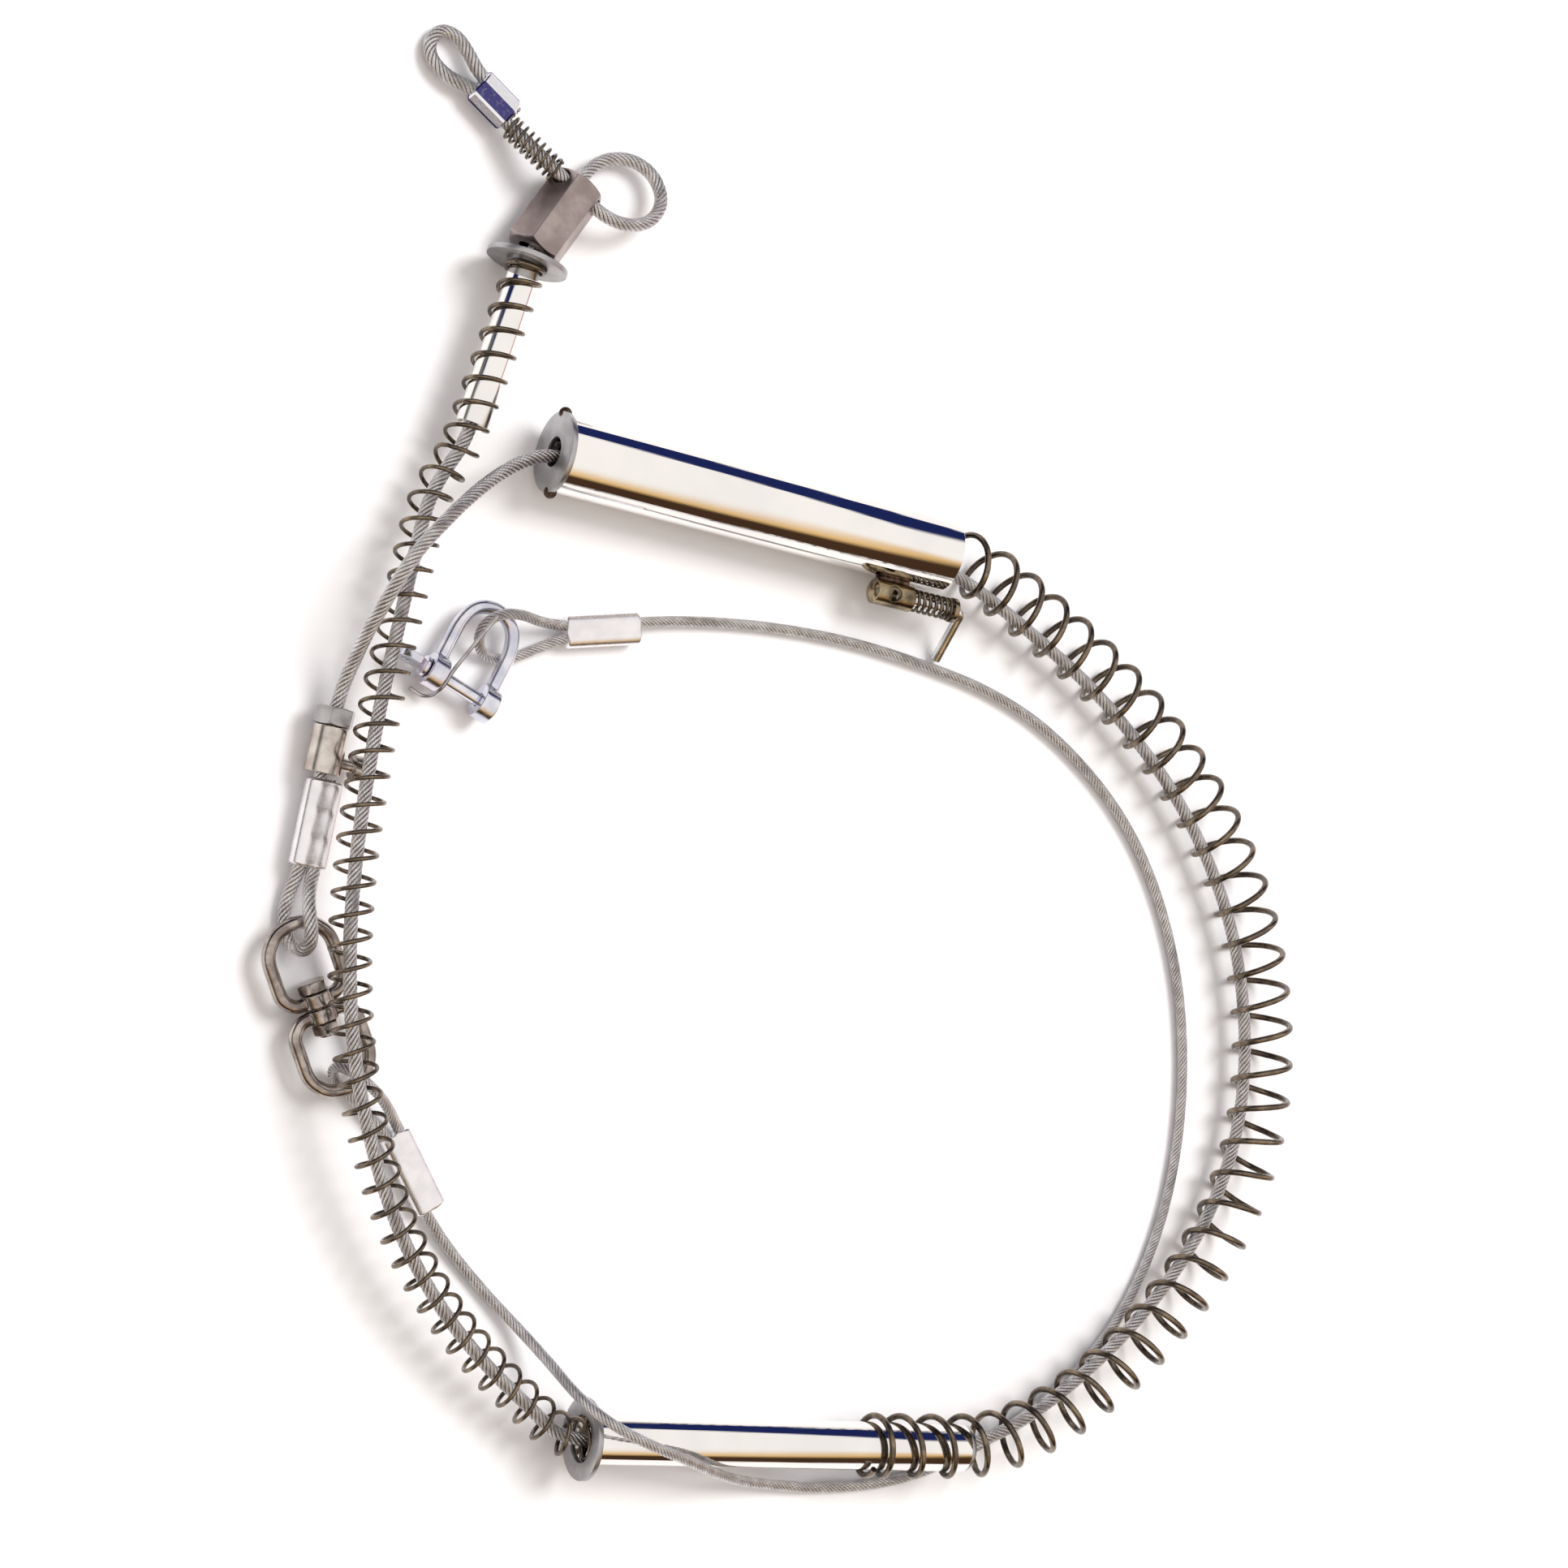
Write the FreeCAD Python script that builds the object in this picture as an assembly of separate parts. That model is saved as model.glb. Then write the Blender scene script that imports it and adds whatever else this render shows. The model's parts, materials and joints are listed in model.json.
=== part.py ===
import FreeCAD, Part
import math
import os

# A spring-driven foot snare laid out on a flat surface, in millimetres, +Z up.
# Plan coordinates are taken from a working corner of the layout and moved so
# that the middle of the hardware's footprint is the origin.

V = FreeCAD.Vector
UP = V(0, 0, 1)

# ---- driving dimensions -------------------------------------------------
plan_centre = V(5.5, -4.1, 0.0)

main_rope = 5.0            # snare cable diameter
tether_rope = 4.0          # tether cable diameter
corner_share = 0.45        # share of a run that a route's arc may take

disc_diameter = 30.0       # cap, flange and washer discs
disc_thickness = 2.0
tube_height = 15.0         # height of the tube axes over the surface

housing_start = V(-103.8, 118.8, tube_height)
housing_end = V(61.3, 86.7, tube_height)
housing_length = 168.2
housing_outside = 28.6
housing_wall = 1.0
cap_hole = 11.0

middle_start = V(-93.0, -234.9, tube_height)
middle_end = V(69.1, -251.1, 17.4)
middle_length = 162.9
middle_outside = 18.0
middle_wall = 0.5
middle_stop_hole = 9.2

plunger_start = V(-114.6, 184.8, tube_height)
plunger_end = V(-136.5, 126.5, tube_height)
plunger_length = 62.0
plunger_outside = 11.8
plunger_bore = 10.0

large_wire = 2.4
large_outside = 24.6
large_pitch = 13.8
small_wire = 1.6
small_outside = 15.8
small_pitch = 9.2
buffer_wire = 1.1
buffer_outside = 9.4
buffer_pitch = 3.9
latch_wire = 1.2
latch_spring_outside = 8.8
latch_spring_pitch = 2.3
spring_gap = 0.3           # running gap between a spring's end and its seat
corners_per_turn = 6

nut_start = V(-110.1, 190.5, 9.5)
nut_end = V(-90.4, 216.0, 9.5)
nut_flats = 19.0
nut_length = 32.0
nut_bore = 10.4
nut_cross_hole = 6.0
nut_cross_from_end = 4.2
nut_cross_height = 4.0

latch_offset = 20.0        # latch axis beside the housing axis
barrel_start = 138.0
barrel_length = 18.4
barrel_diameter = 9.8
barrel_bore_start = 145.0
cross_hole = 6.0
cross_hole_at = 147.0
pin_diameter = 4.0
pin_clearance = 0.1
pin_start = 151.0
pin_bend_at = 179.7
pin_bend_radius = 3.2
leg_length = 22.0
leg_drop = 36.0            # degrees below level
seat_diameter = 9.4
seat_thickness = 2.0
seat_at = 174.4

ferrule_length = 31.0
ferrule_wall = 1.8
ferrule_fit = 0.05
stopper_start = 34.2
sleeve_length = 16.5
sleeve_diameter = 13.0
sleeve_bore = 6.4
gland_gap = 0.3
gland_flats = 13.0
gland_length = 6.6
screw_at = 4.5
screw_diameter = 4.6
screw_head_diameter = 9.0
screw_head_length = 5.0
screw_head_from_sleeve = 4.0

swivel_start = V(-203.1, -46.1, 8.5)
swivel_end = V(-180.2, -108.9, 8.5)
swivel_wire = 5.0
swivel_width = 30.0
swivel_half = 33.4
boss_diameter = 11.0
boss_length = 5.0
boss_gap = 0.3
swivel_bolt_diameter = 6.0
swivel_bolt_flats = 10.0
swivel_nut_flats = 9.0
swivel_head_length = 4.0

shackle_centre = V(-137.4, 34.1, 7.5)
shackle_toward = V(0.49, 0.872, 0.0)
shackle_wire = 5.2
shackle_gap = 16.3
ear_diameter = 13.0
ear_thickness = 6.4
shackle_reach = 35.0
shackle_pin = 5.0
pin_fit = 0.1
wing_diameter = 11.0
wing_thickness = 3.0
lock_wire_diameter = 1.5

# ---- routes, in plan coordinates ----------------------------------------
# The snare cable, from its dead end at the swivel to its dead end at the noose.
snare_dead_leg = [(-186.5, 1.0, 6.5), (-189.0, -11.5, 6.5), (-193.0, -30.5, 6.5)]
snare_swivel_eye = [
    (-197.0, -38.5, 11.5), (-197.5, -46.0, 14.0), (-196.5, -54.5, 14.0), (-197.5, -58.5, 8.0),
    (-200.5, -56.0, 3.0), (-203.0, -47.5, 3.0), (-201.5, -39.5, 3.5)]
snare_stop_leg = [(-198.0, -29.5, 6.0), (-194.0, -11.5, 7.0), (-189.5, 9.0, 8.5), (-184.5, 32.5, 10.5)]
snare_hump = [
    (-181.5, 43.0, 15.5), (-180.0, 52.0, 22.5), (-176.5, 61.5, 28.5), (-172.0, 71.0, 32.5),
    (-165.5, 81.0, 33.5), (-155.0, 91.0, 32.5), (-141.0, 101.5, 26.0), (-126.0, 110.5, 19.0),
    (-112.5, 116.5, 15.0)]
snare_in_housing = [
    (-101.0, 117.5, 14.5), (-81.0, 113.0, 13.0), (-48.0, 105.0, 12.0), (-10.0, 96.0, 11.5),
    (24.0, 89.0, 12.0), (50.0, 83.5, 13.0)]
snare_in_large_spring = [
    (68.5, 79.0, 12.5), (85.5, 70.0, 10.5), (109.5, 54.5, 9.0), (132.5, 37.5, 9.0),
    (154.5, 16.5, 9.0), (172.5, -4.5, 9.0), (186.5, -27.0, 9.0), (197.0, -49.5, 9.0),
    (203.5, -73.0, 9.0), (206.5, -101.0, 9.0), (204.5, -129.0, 9.0), (197.5, -152.5, 9.0),
    (186.0, -173.5, 9.5), (169.5, -193.0, 11.0), (149.5, -211.0, 12.5), (126.5, -227.5, 13.5),
    (104.0, -240.0, 14.5), (85.0, -247.5, 16.0)]
snare_in_middle_tube = [
    (66.0, -250.5, 17.0), (28.0, -246.5, 17.0), (-12.0, -243.5, 16.0), (-52.0, -238.5, 15.5),
    (-82.0, -236.5, 15.0)]
snare_in_small_spring = [
    (-101.0, -234.0, 15.0), (-113.0, -222.5, 15.5), (-129.5, -207.5, 16.5), (-146.0, -189.5, 18.5),
    (-160.5, -168.5, 20.5), (-171.0, -147.5, 22.0), (-179.0, -125.0, 24.5), (-184.5, -102.5, 25.0),
    (-187.0, -79.0, 24.5), (-187.0, -51.5, 24.0), (-184.5, -24.0, 24.0), (-179.5, 4.5, 23.0),
    (-173.5, 30.0, 21.0), (-166.5, 53.0, 18.5), (-160.0, 76.0, 16.5), (-154.0, 98.0, 15.5),
    (-147.0, 110.0, 15.0), (-139.0, 120.0, 15.0)]
snare_in_thin_tube = [(-133.5, 135.0, 15.0), (-127.0, 151.5, 15.0), (-121.0, 168.0, 15.0), (-115.0, 184.0, 14.5)]
snare_noose = [
    (-110.0, 191.0, 11.5), (-100.5, 203.0, 9.0), (-91.0, 215.0, 7.5), (-85.0, 222.0, 5.0), (-77.0, 227.0, 4.5),
    (-67.0, 227.5, 5.0), (-58.5, 222.5, 6.0), (-55.5, 213.5, 8.0), (-60.0, 205.5, 10.5),
    (-69.5, 201.5, 12.5), (-81.5, 203.5, 13.5), (-92.5, 212.0, 13.5), (-104.0, 221.0, 13.5),
    (-111.0, 228.5, 10.5)]
snare_ferrule_in = [(-118.0, 236.0, 6.5), (-131.5, 248.0, 5.5)]
snare_end_eye = [
    (-139.5, 250.5, 4.5), (-146.0, 256.0, 3.5), (-147.5, 262.5, 3.0), (-143.0, 268.0, 3.0),
    (-136.5, 266.5, 3.5), (-132.0, 260.0, 4.5)]
snare_ferrule_out = [(-128.0, 252.0, 5.5), (-114.5, 240.0, 6.5)]
snare_route = (
    snare_dead_leg + snare_swivel_eye + snare_stop_leg + snare_hump + snare_in_housing
    + snare_in_large_spring + snare_in_middle_tube + snare_in_small_spring + snare_in_thin_tube
    + snare_noose + snare_ferrule_in + snare_end_eye + snare_ferrule_out)

# The tether cable, from its dead end at the swivel to its dead end at the shackle.
tether_dead_leg = [(-145.0, -149.0, 4.0), (-151.5, -137.0, 4.0), (-159.5, -121.5, 4.0)]
tether_swivel_eye = [
    (-166.5, -112.0, 9.0), (-174.5, -105.5, 14.5), (-181.5, -100.0, 14.5), (-185.0, -98.0, 8.5),
    (-185.0, -101.5, 3.0), (-179.0, -108.0, 3.0), (-171.5, -115.5, 3.5)]
tether_live_leg = [(-163.5, -124.0, 4.0), (-157.0, -136.5, 4.0), (-149.0, -152.0, 4.0)]
tether_hump = [
    (-138.5, -166.5, 2.5), (-124.0, -183.0, 2.5), (-111.0, -197.0, 5.0), (-103.5, -208.0, 13.0),
    (-98.5, -219.0, 26.0), (-89.5, -228.0, 34.0), (-75.0, -236.0, 35.5), (-58.5, -243.0, 31.0),
    (-44.0, -249.5, 23.0), (-28.5, -255.5, 12.5), (-9.5, -260.0, 5.0)]
tether_round = [
    (14.0, -264.0, 2.5), (44.0, -264.5, 2.5), (66.5, -260.0, 2.5), (90.5, -251.5, 2.5),
    (112.5, -240.5, 2.5), (134.0, -226.0, 2.5), (154.0, -204.5, 2.5), (169.5, -175.5, 2.5),
    (178.5, -142.0, 2.5), (181.0, -107.0, 2.5), (177.5, -72.0, 2.5), (166.0, -36.5, 2.5),
    (147.0, -6.5, 2.5), (119.0, 19.5, 2.5), (91.5, 35.0, 2.5), (63.0, 44.5, 2.5),
    (28.5, 53.5, 2.5), (-6.5, 58.5, 2.5), (-40.0, 60.0, 3.0)]
tether_ferrule_in = [(-63.0, 59.0, 4.5), (-80.0, 58.0, 4.5), (-94.5, 57.0, 4.5)]
tether_shackle_eye = [
    (-106.0, 58.0, 9.0), (-115.5, 60.5, 13.0), (-124.5, 60.5, 14.0), (-130.5, 56.0, 11.5),
    (-130.0, 49.5, 7.0), (-124.5, 45.0, 2.5), (-115.5, 44.5, 2.5), (-105.0, 48.5, 3.0)]
tether_ferrule_out = [(-94.5, 52.5, 4.5), (-80.0, 53.5, 4.5), (-64.5, 54.5, 4.5)]
tether_route = (
    tether_dead_leg + tether_swivel_eye + tether_live_leg + tether_hump + tether_round
    + tether_ferrule_in + tether_shackle_eye + tether_ferrule_out)

# The middle of the large spring, from inside the cap to over the middle tube.
large_line = [
    (-98.0, 117.5, 15.0), (-20.0, 102.5, 15.0), (72.0, 84.5, 15.0), (88.5, 75.0, 13.5),
    (112.5, 59.0, 12.5), (136.5, 41.0, 12.5), (159.0, 20.0, 12.5), (177.5, -1.5, 12.5),
    (192.5, -24.5, 12.5), (203.0, -48.0, 12.5), (209.5, -72.5, 12.5), (212.5, -101.5, 12.5),
    (210.5, -130.5, 12.5), (203.0, -155.0, 12.5), (191.0, -176.5, 13.0), (174.0, -197.0, 14.5),
    (152.5, -215.5, 16.5), (128.0, -232.5, 17.5), (105.0, -244.0, 17.5), (86.0, -249.5, 17.5),
    (69.0, -251.0, 17.5), (25.0, -246.5, 17.0)]


def at(point):
    """A plan point as a vector about the layout's own centre."""
    return V(*point) - plan_centre


def direction(start, end):
    """Unit vector from one plan point to another."""
    return (end - start).normalize()


def placed(shape, origin, along, up=UP):
    """Move a shape from its own frame, X along the piece, to its place."""
    rotation = FreeCAD.Rotation(along, up.cross(along), up, "XZY")
    moved = shape.copy()
    moved.Placement = FreeCAD.Placement(origin, rotation).multiply(moved.Placement)
    return moved


def rod(radius, length, start=0.0, y=0.0, z=0.0):
    """A round bar along the local X axis."""
    return Part.makeCylinder(radius, length, V(start, y, z), V(1, 0, 0))


def pipe(outside, inside, length, start=0.0, y=0.0, z=0.0):
    """A hollow round bar along the local X axis."""
    return rod(outside / 2, length, start, y, z).cut(rod(inside / 2, length + 2, start - 1, y, z))


def hex_bar(flats, length, start=0.0):
    """A hexagonal bar along local X, with two flats facing up and down."""
    corner = flats / math.sqrt(3)
    points = []
    for step in range(7):
        angle = math.radians(60 * step)
        points.append(V(start, corner * math.cos(angle), corner * math.sin(angle)))
    face = Part.Face(Part.makePolygon(points))
    return face.extrude(V(length, 0, 0))


def chamfered_hex(flats, length, start=0.0):
    """A hexagonal bar whose corners are turned down at both ends."""
    corner = flats / math.sqrt(3)
    depth = (corner - 0.94 * flats / 2) * math.tan(math.radians(30))
    small = 0.94 * flats / 2
    cones = []
    for end, sense in ((start, 1), (start + length, -1)):
        cones.append(Part.makeCone(small, corner + 0.01, depth, V(end, 0, 0), V(sense, 0, 0)))
    barrel = rod(corner + 0.01, length - 2 * depth, start + depth)
    return hex_bar(flats, length, start).common(cones[0].fuse([barrel, cones[1]]))


def rounded_path(points, share=corner_share):
    """Straight runs joined by tangent arcs; returns the wire and the arc radii."""
    edges = []
    radii = []
    last = points[0]
    for before, here, after in zip(points, points[1:], points[2:]):
        back = (before - here).normalize()
        ahead = (after - here).normalize()
        reach = share * min(before.distanceToPoint(here), after.distanceToPoint(here))
        half_turn = (math.pi - back.getAngle(ahead)) / 2
        radius = reach / math.tan(half_turn)
        arc_start = here + back * reach
        arc_end = here + ahead * reach
        bisector = (back + ahead).normalize()
        middle = here + bisector * (math.hypot(radius, reach) - radius)
        edges.append(Part.LineSegment(last, arc_start).toShape())
        edges.append(Part.Arc(arc_start, middle, arc_end).toShape())
        radii.append(radius)
        last = arc_end
    edges.append(Part.LineSegment(last, points[-1]).toShape())
    return Part.Wire(edges), radii


def swept(points, diameter, share=corner_share):
    """A round section swept along the rounded path of the points."""
    wire, radii = rounded_path(points, share)
    start = (points[1] - points[0]).normalize()
    circle = Part.Wire(Part.makeCircle(diameter / 2, points[0], start))
    solid = wire.makePipeShell([circle], True, False)
    return solid, wire.Length, radii


def report_sweep(name, solid, length, diameter, radii):
    """Print a swept cord's volume against its section and its tightest bends."""
    expected = math.pi * diameter ** 2 / 4 * length
    smallest = " ".join("%.1f" % radius for radius in sorted(radii)[:8])
    print(name, "length %.0f" % length, "volume ratio %.4f" % (solid.Volume / expected))
    print(name, "radii from", smallest)


def evenly(points, step=0.5):
    """Points a small even step apart along a rounded path."""
    wire, radii = rounded_path(points)
    count = int(wire.Length / step) + 1
    return wire.discretize(Number=count), wire.Length


def coil(line, wire_diameter, outside, pitch, phase=0.0):
    """A compression spring of round wire whose turns follow a bent line."""
    trail, length = evenly(line)
    mean_radius = (outside - wire_diameter) / 2
    corner_radius = mean_radius / 0.873
    end_radius = mean_radius * 1.07
    turns = int((length - 2 * wire_diameter) / pitch)
    count = turns * corners_per_turn
    inset = wire_diameter / 2 + spring_gap
    usable = length - 2 * inset
    points = []
    for step in range(count + 1):
        place = (inset + usable * step / count) / length * (len(trail) - 1)
        low = min(int(place), len(trail) - 2)
        here = trail[low] + (trail[low + 1] - trail[low]) * (place - low)
        along = (trail[low + 1] - trail[low]).normalize()
        side = along.cross(UP).normalize()
        above = side.cross(along)
        angle = phase + 2 * math.pi * step / corners_per_turn
        offset = side * math.cos(angle) + above * math.sin(angle)
        points.append(here + offset * (end_radius if step in (0, count) else corner_radius))
    solid, wire_length, radii = swept(points, wire_diameter)
    return solid


# ---- housing and latch ---------------------------------------------------
housing_along = direction(housing_start, housing_end)


def in_housing(shape):
    return placed(shape, at(housing_start), housing_along)


def housing_solid_outline():
    cap = rod(disc_diameter / 2, disc_thickness)
    return cap.fuse(rod(housing_outside / 2, housing_length - disc_thickness, disc_thickness))


def housing_cap():
    return in_housing(pipe(disc_diameter, cap_hole, disc_thickness))


def housing_tube():
    inside = housing_outside - 2 * housing_wall
    return in_housing(pipe(housing_outside, inside, housing_length - disc_thickness, disc_thickness))


def cap_tack_welds():
    outline = housing_solid_outline()
    beads = []
    for side in (1, -1):
        bead = Part.makeSphere(2.4, V(1.8, side * 14.4, 0.6 * side))
        beads.append(bead.cut(outline))
    return in_housing(Part.makeCompound(beads))


def latch_barrel():
    body = rod(barrel_diameter / 2, barrel_length - 2, barrel_start + 2, -latch_offset)
    dome_radius = barrel_diameter / 2 + 1.1
    dome = Part.makeSphere(dome_radius, V(barrel_start + dome_radius, -latch_offset, 0))
    nose = rod(barrel_diameter / 2, 2.0, barrel_start, -latch_offset).common(dome)
    body = body.fuse(nose).removeSplitter()
    bore_length = barrel_start + barrel_length - barrel_bore_start
    body = body.cut(rod(pin_diameter / 2 + pin_clearance, bore_length + 1, barrel_bore_start, -latch_offset))
    hole_base = V(cross_hole_at, -latch_offset, -barrel_diameter)
    return in_housing(body.cut(Part.makeCylinder(cross_hole / 2, 2 * barrel_diameter, hole_base)))


def latch_weld():
    middle = -(housing_outside / 2 + latch_offset - barrel_diameter / 2) / 2
    web = rod(2.6, barrel_length - 6, barrel_start + 3.5, middle)
    web = web.cut(rod(housing_outside / 2, housing_length))
    web = web.cut(rod(barrel_diameter / 2, barrel_length + 1, barrel_start, -latch_offset))
    return in_housing(web)


def latch_spring():
    start = barrel_start + barrel_length
    line = [V(start, -latch_offset, 0), V((start + seat_at) / 2, -latch_offset, 0.02)]
    line.append(V(seat_at, -latch_offset, 0))
    return in_housing(coil(line, latch_wire, latch_spring_outside, latch_spring_pitch))


def latch_seat():
    bore = pin_diameter + 2 * pin_clearance
    return in_housing(pipe(seat_diameter, bore, seat_thickness, seat_at, -latch_offset))


def latch_pin():
    drop = math.radians(leg_drop)
    bend = V(pin_bend_at, -latch_offset, 0)
    tip = bend + V(0, -math.cos(drop), -math.sin(drop)) * leg_length
    corner_in = V(pin_bend_at - pin_bend_radius, -latch_offset, 0)
    corner_out = bend + (tip - bend).normalize() * pin_bend_radius
    centre = corner_in + (tip - bend).normalize() * pin_bend_radius
    middle = centre + (bend - centre).normalize() * pin_bend_radius
    edges = [Part.LineSegment(V(pin_start, -latch_offset, 0), corner_in).toShape()]
    edges.append(Part.Arc(corner_in, middle, corner_out).toShape())
    edges.append(Part.LineSegment(corner_out, tip).toShape())
    section = Part.Wire(Part.makeCircle(pin_diameter / 2, V(pin_start, -latch_offset, 0), V(1, 0, 0)))
    return in_housing(Part.Wire(edges).makePipeShell([section], True, False))


# ---- springs on the cable ------------------------------------------------
def large_spring():
    return coil([at(point) for point in large_line], large_wire, large_outside, large_pitch)


def small_spring_line():
    """Inside the middle tube, round the cable and over the thin tube."""
    inner = middle_start + middle_along * (middle_length - disc_thickness)
    middle = (inner + middle_start) * 0.5 + V(0, 0, 0.02)
    line = [at(inner), at(middle)]
    line += [at(point) for point in snare_in_small_spring]
    line.append(at(plunger_start))
    return line


def small_spring():
    return coil(small_spring_line(), small_wire, small_outside, small_pitch)


def buffer_spring():
    line = [at((-101.8, 219.3, 13.5)), at(snare_noose[-2]), at(snare_noose[-1])]
    line.append(at((-117.0, 235.0, 7.0)))
    return coil(line, buffer_wire, buffer_outside, buffer_pitch)


# ---- middle tube ---------------------------------------------------------
middle_along = direction(middle_start, middle_end)


def in_middle(shape):
    return placed(shape, at(middle_start), middle_along)


def middle_flange():
    return in_middle(pipe(disc_diameter, middle_outside - 2 * middle_wall, disc_thickness))


def middle_tube():
    inside = middle_outside - 2 * middle_wall
    return in_middle(pipe(middle_outside, inside, middle_length - disc_thickness, disc_thickness))


def middle_stop():
    outside = middle_outside - 2 * middle_wall
    return in_middle(pipe(outside, middle_stop_hole, disc_thickness, middle_length - disc_thickness))


# ---- thin tube, washer and long nut --------------------------------------
plunger_along = direction(plunger_start, plunger_end)


def plunger_tube():
    return placed(pipe(plunger_outside, plunger_bore, plunger_length), at(plunger_start), plunger_along)


def plunger_washer():
    ring = pipe(disc_diameter, plunger_bore, disc_thickness, -disc_thickness)
    return placed(ring, at(plunger_start), plunger_along)


def long_nut():
    body = chamfered_hex(nut_flats, nut_length).cut(rod(nut_bore / 2, nut_length + 2, -1))
    place = V(nut_length - nut_cross_from_end, -nut_flats, nut_cross_height)
    body = body.cut(Part.makeCylinder(nut_cross_hole / 2, 2 * nut_flats, place, V(0, 1, 0)))
    return placed(body, at(nut_start), direction(nut_start, nut_end))


# ---- ferrules and stopper ------------------------------------------------
def ferrule(rope, length, inset, first_leg, second_leg, before, after):
    """An oval sleeve pressed round two legs of a rope, bored along both of them.

    The first leg runs away from the eye and comes from the point before it, the
    second runs back to the eye and is followed by the point after it.
    """
    first_start, first_end = V(*first_leg[0]), V(*first_leg[-1])
    second_start, second_end = V(*second_leg[-1]), V(*second_leg[0])
    start = (first_start + second_start) * 0.5
    end = (first_end + second_end) * 0.5
    along = direction(start, end)
    across = UP.cross(along).normalize()
    gap = abs((second_start - first_start).dot(across)) / 2
    height = rope + 2 * ferrule_wall
    body = rod(height / 2, length, inset, gap).fuse(rod(height / 2, length, inset, -gap))
    body = body.fuse(Part.makeBox(length, 2 * gap, height, V(inset, -gap, -height / 2)))
    body = placed(body.removeSplitter(), at(start), along, along.cross(across))
    for leg, eye_point in ((first_leg, before), (second_leg[::-1], after)):
        tail = V(*leg[-1]) + (V(*leg[-1]) - V(*leg[-2])) * 0.6
        path = [at(eye_point)] + [at(point) for point in leg] + [at(tail)]
        path[-2:] = [path[-1]]
        body = body.cut(swept(path, rope + 2 * ferrule_fit)[0])
    return body


def swivel_ferrule_snare():
    eye = snare_swivel_eye
    leg = snare_stop_leg[:3]
    return ferrule(main_rope, ferrule_length, 1.0, leg, snare_dead_leg, eye[-1], eye[0])


def swivel_ferrule_tether():
    eye = tether_swivel_eye
    return ferrule(tether_rope, ferrule_length, 0.5, tether_live_leg, tether_dead_leg, eye[-1], eye[0])


def shackle_ferrule():
    eye = tether_shackle_eye
    into, out = tether_ferrule_in[::-1], tether_ferrule_out[::-1]
    return ferrule(tether_rope, ferrule_length - 1, 0.5, into, out, eye[0], eye[-1])


def noose_ferrule():
    eye = snare_end_eye
    into, out = snare_ferrule_in[::-1], snare_ferrule_out[::-1]
    return ferrule(main_rope, 16.0, 1.0, into, out, eye[0], eye[-1])


stop_start = V(*snare_stop_leg[0])
stop_along = direction(stop_start, V(*snare_stop_leg[-1]))


def stopper_sleeve():
    body = pipe(sleeve_diameter, sleeve_bore, sleeve_length)
    hole = Part.makeCylinder(screw_diameter / 2 + pin_clearance, sleeve_diameter, V(screw_at, 0, 0), V(0, -1, 0))
    return placed(body.cut(hole), at(stop_start + stop_along * stopper_start), stop_along)


def stopper_gland():
    body = chamfered_hex(gland_flats, gland_length).cut(rod(sleeve_bore / 2, gland_length + 2, -1))
    start = stopper_start + sleeve_length + gland_gap
    return placed(body, at(stop_start + stop_along * start), stop_along)


def stopper_screw():
    tip = main_rope / 2 + 0.5
    face = sleeve_diameter / 2 + screw_head_from_sleeve
    shank = Part.makeCylinder(screw_diameter / 2, face - tip, V(screw_at, -tip, 0), V(0, -1, 0))
    head = Part.makeCylinder(screw_head_diameter / 2, screw_head_length, V(screw_at, -face, 0), V(0, -1, 0))
    body = shank.fuse(head)
    slot = Part.makeBox(screw_head_diameter + 2, 2, 1.4)
    slot.translate(V(screw_at - screw_head_diameter / 2 - 1, -face - screw_head_length, -0.7))
    return placed(body.cut(slot), at(stop_start + stop_along * stopper_start), stop_along)


# ---- swivel ---------------------------------------------------------------
swivel_along = direction(swivel_start, swivel_end)
swivel_centre = (swivel_start + swivel_end) * 0.5


def in_swivel(shape):
    return placed(shape, at(swivel_centre), swivel_along)


def swivel_bow(sense):
    """A D-shaped bow of round wire with a boss for the bolt at its foot."""
    side = (swivel_width - swivel_wire) / 2
    base = sense * (boss_gap + boss_length / 2)
    top = sense * (swivel_half - swivel_wire / 2)
    shoulder = top - sense * 8
    points = [V(base, 3.4, 0), V(base, side - 4, 0), V(base + sense * 4, side, 0)]
    points += [V(shoulder, side, 0), V(top - sense * 1.6, side - 5.2, 0)]
    points += [V(top, 0, 0), V(top - sense * 1.6, 5.2 - side, 0), V(shoulder, -side, 0)]
    points += [V(base + sense * 4, -side, 0), V(base, 4 - side, 0), V(base, -3.4, 0)]
    wire_part = swept(points, swivel_wire)[0]
    low = min(sense * boss_gap, sense * (boss_gap + boss_length))
    boss = rod(boss_diameter / 2, boss_length, low)
    body = wire_part.fuse(boss)
    return in_swivel(body.cut(rod(swivel_bolt_diameter / 2 + 0.1, 14, -7)))


def swivel_bolt():
    face = boss_gap + boss_length + 0.3
    head = chamfered_hex(swivel_bolt_flats, swivel_head_length, -face - swivel_head_length)
    return in_swivel(head.fuse(rod(swivel_bolt_diameter / 2, 2 * face + swivel_head_length + 1, -face)))


def swivel_nut():
    face = boss_gap + boss_length + 0.3
    nut = chamfered_hex(swivel_nut_flats, swivel_head_length, face)
    return in_swivel(nut.cut(rod(swivel_bolt_diameter / 2, 3 * face, 0)))


# ---- shackle ---------------------------------------------------------------
def in_shackle(shape):
    return placed(shape, at(shackle_centre), shackle_toward.normalize())


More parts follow.
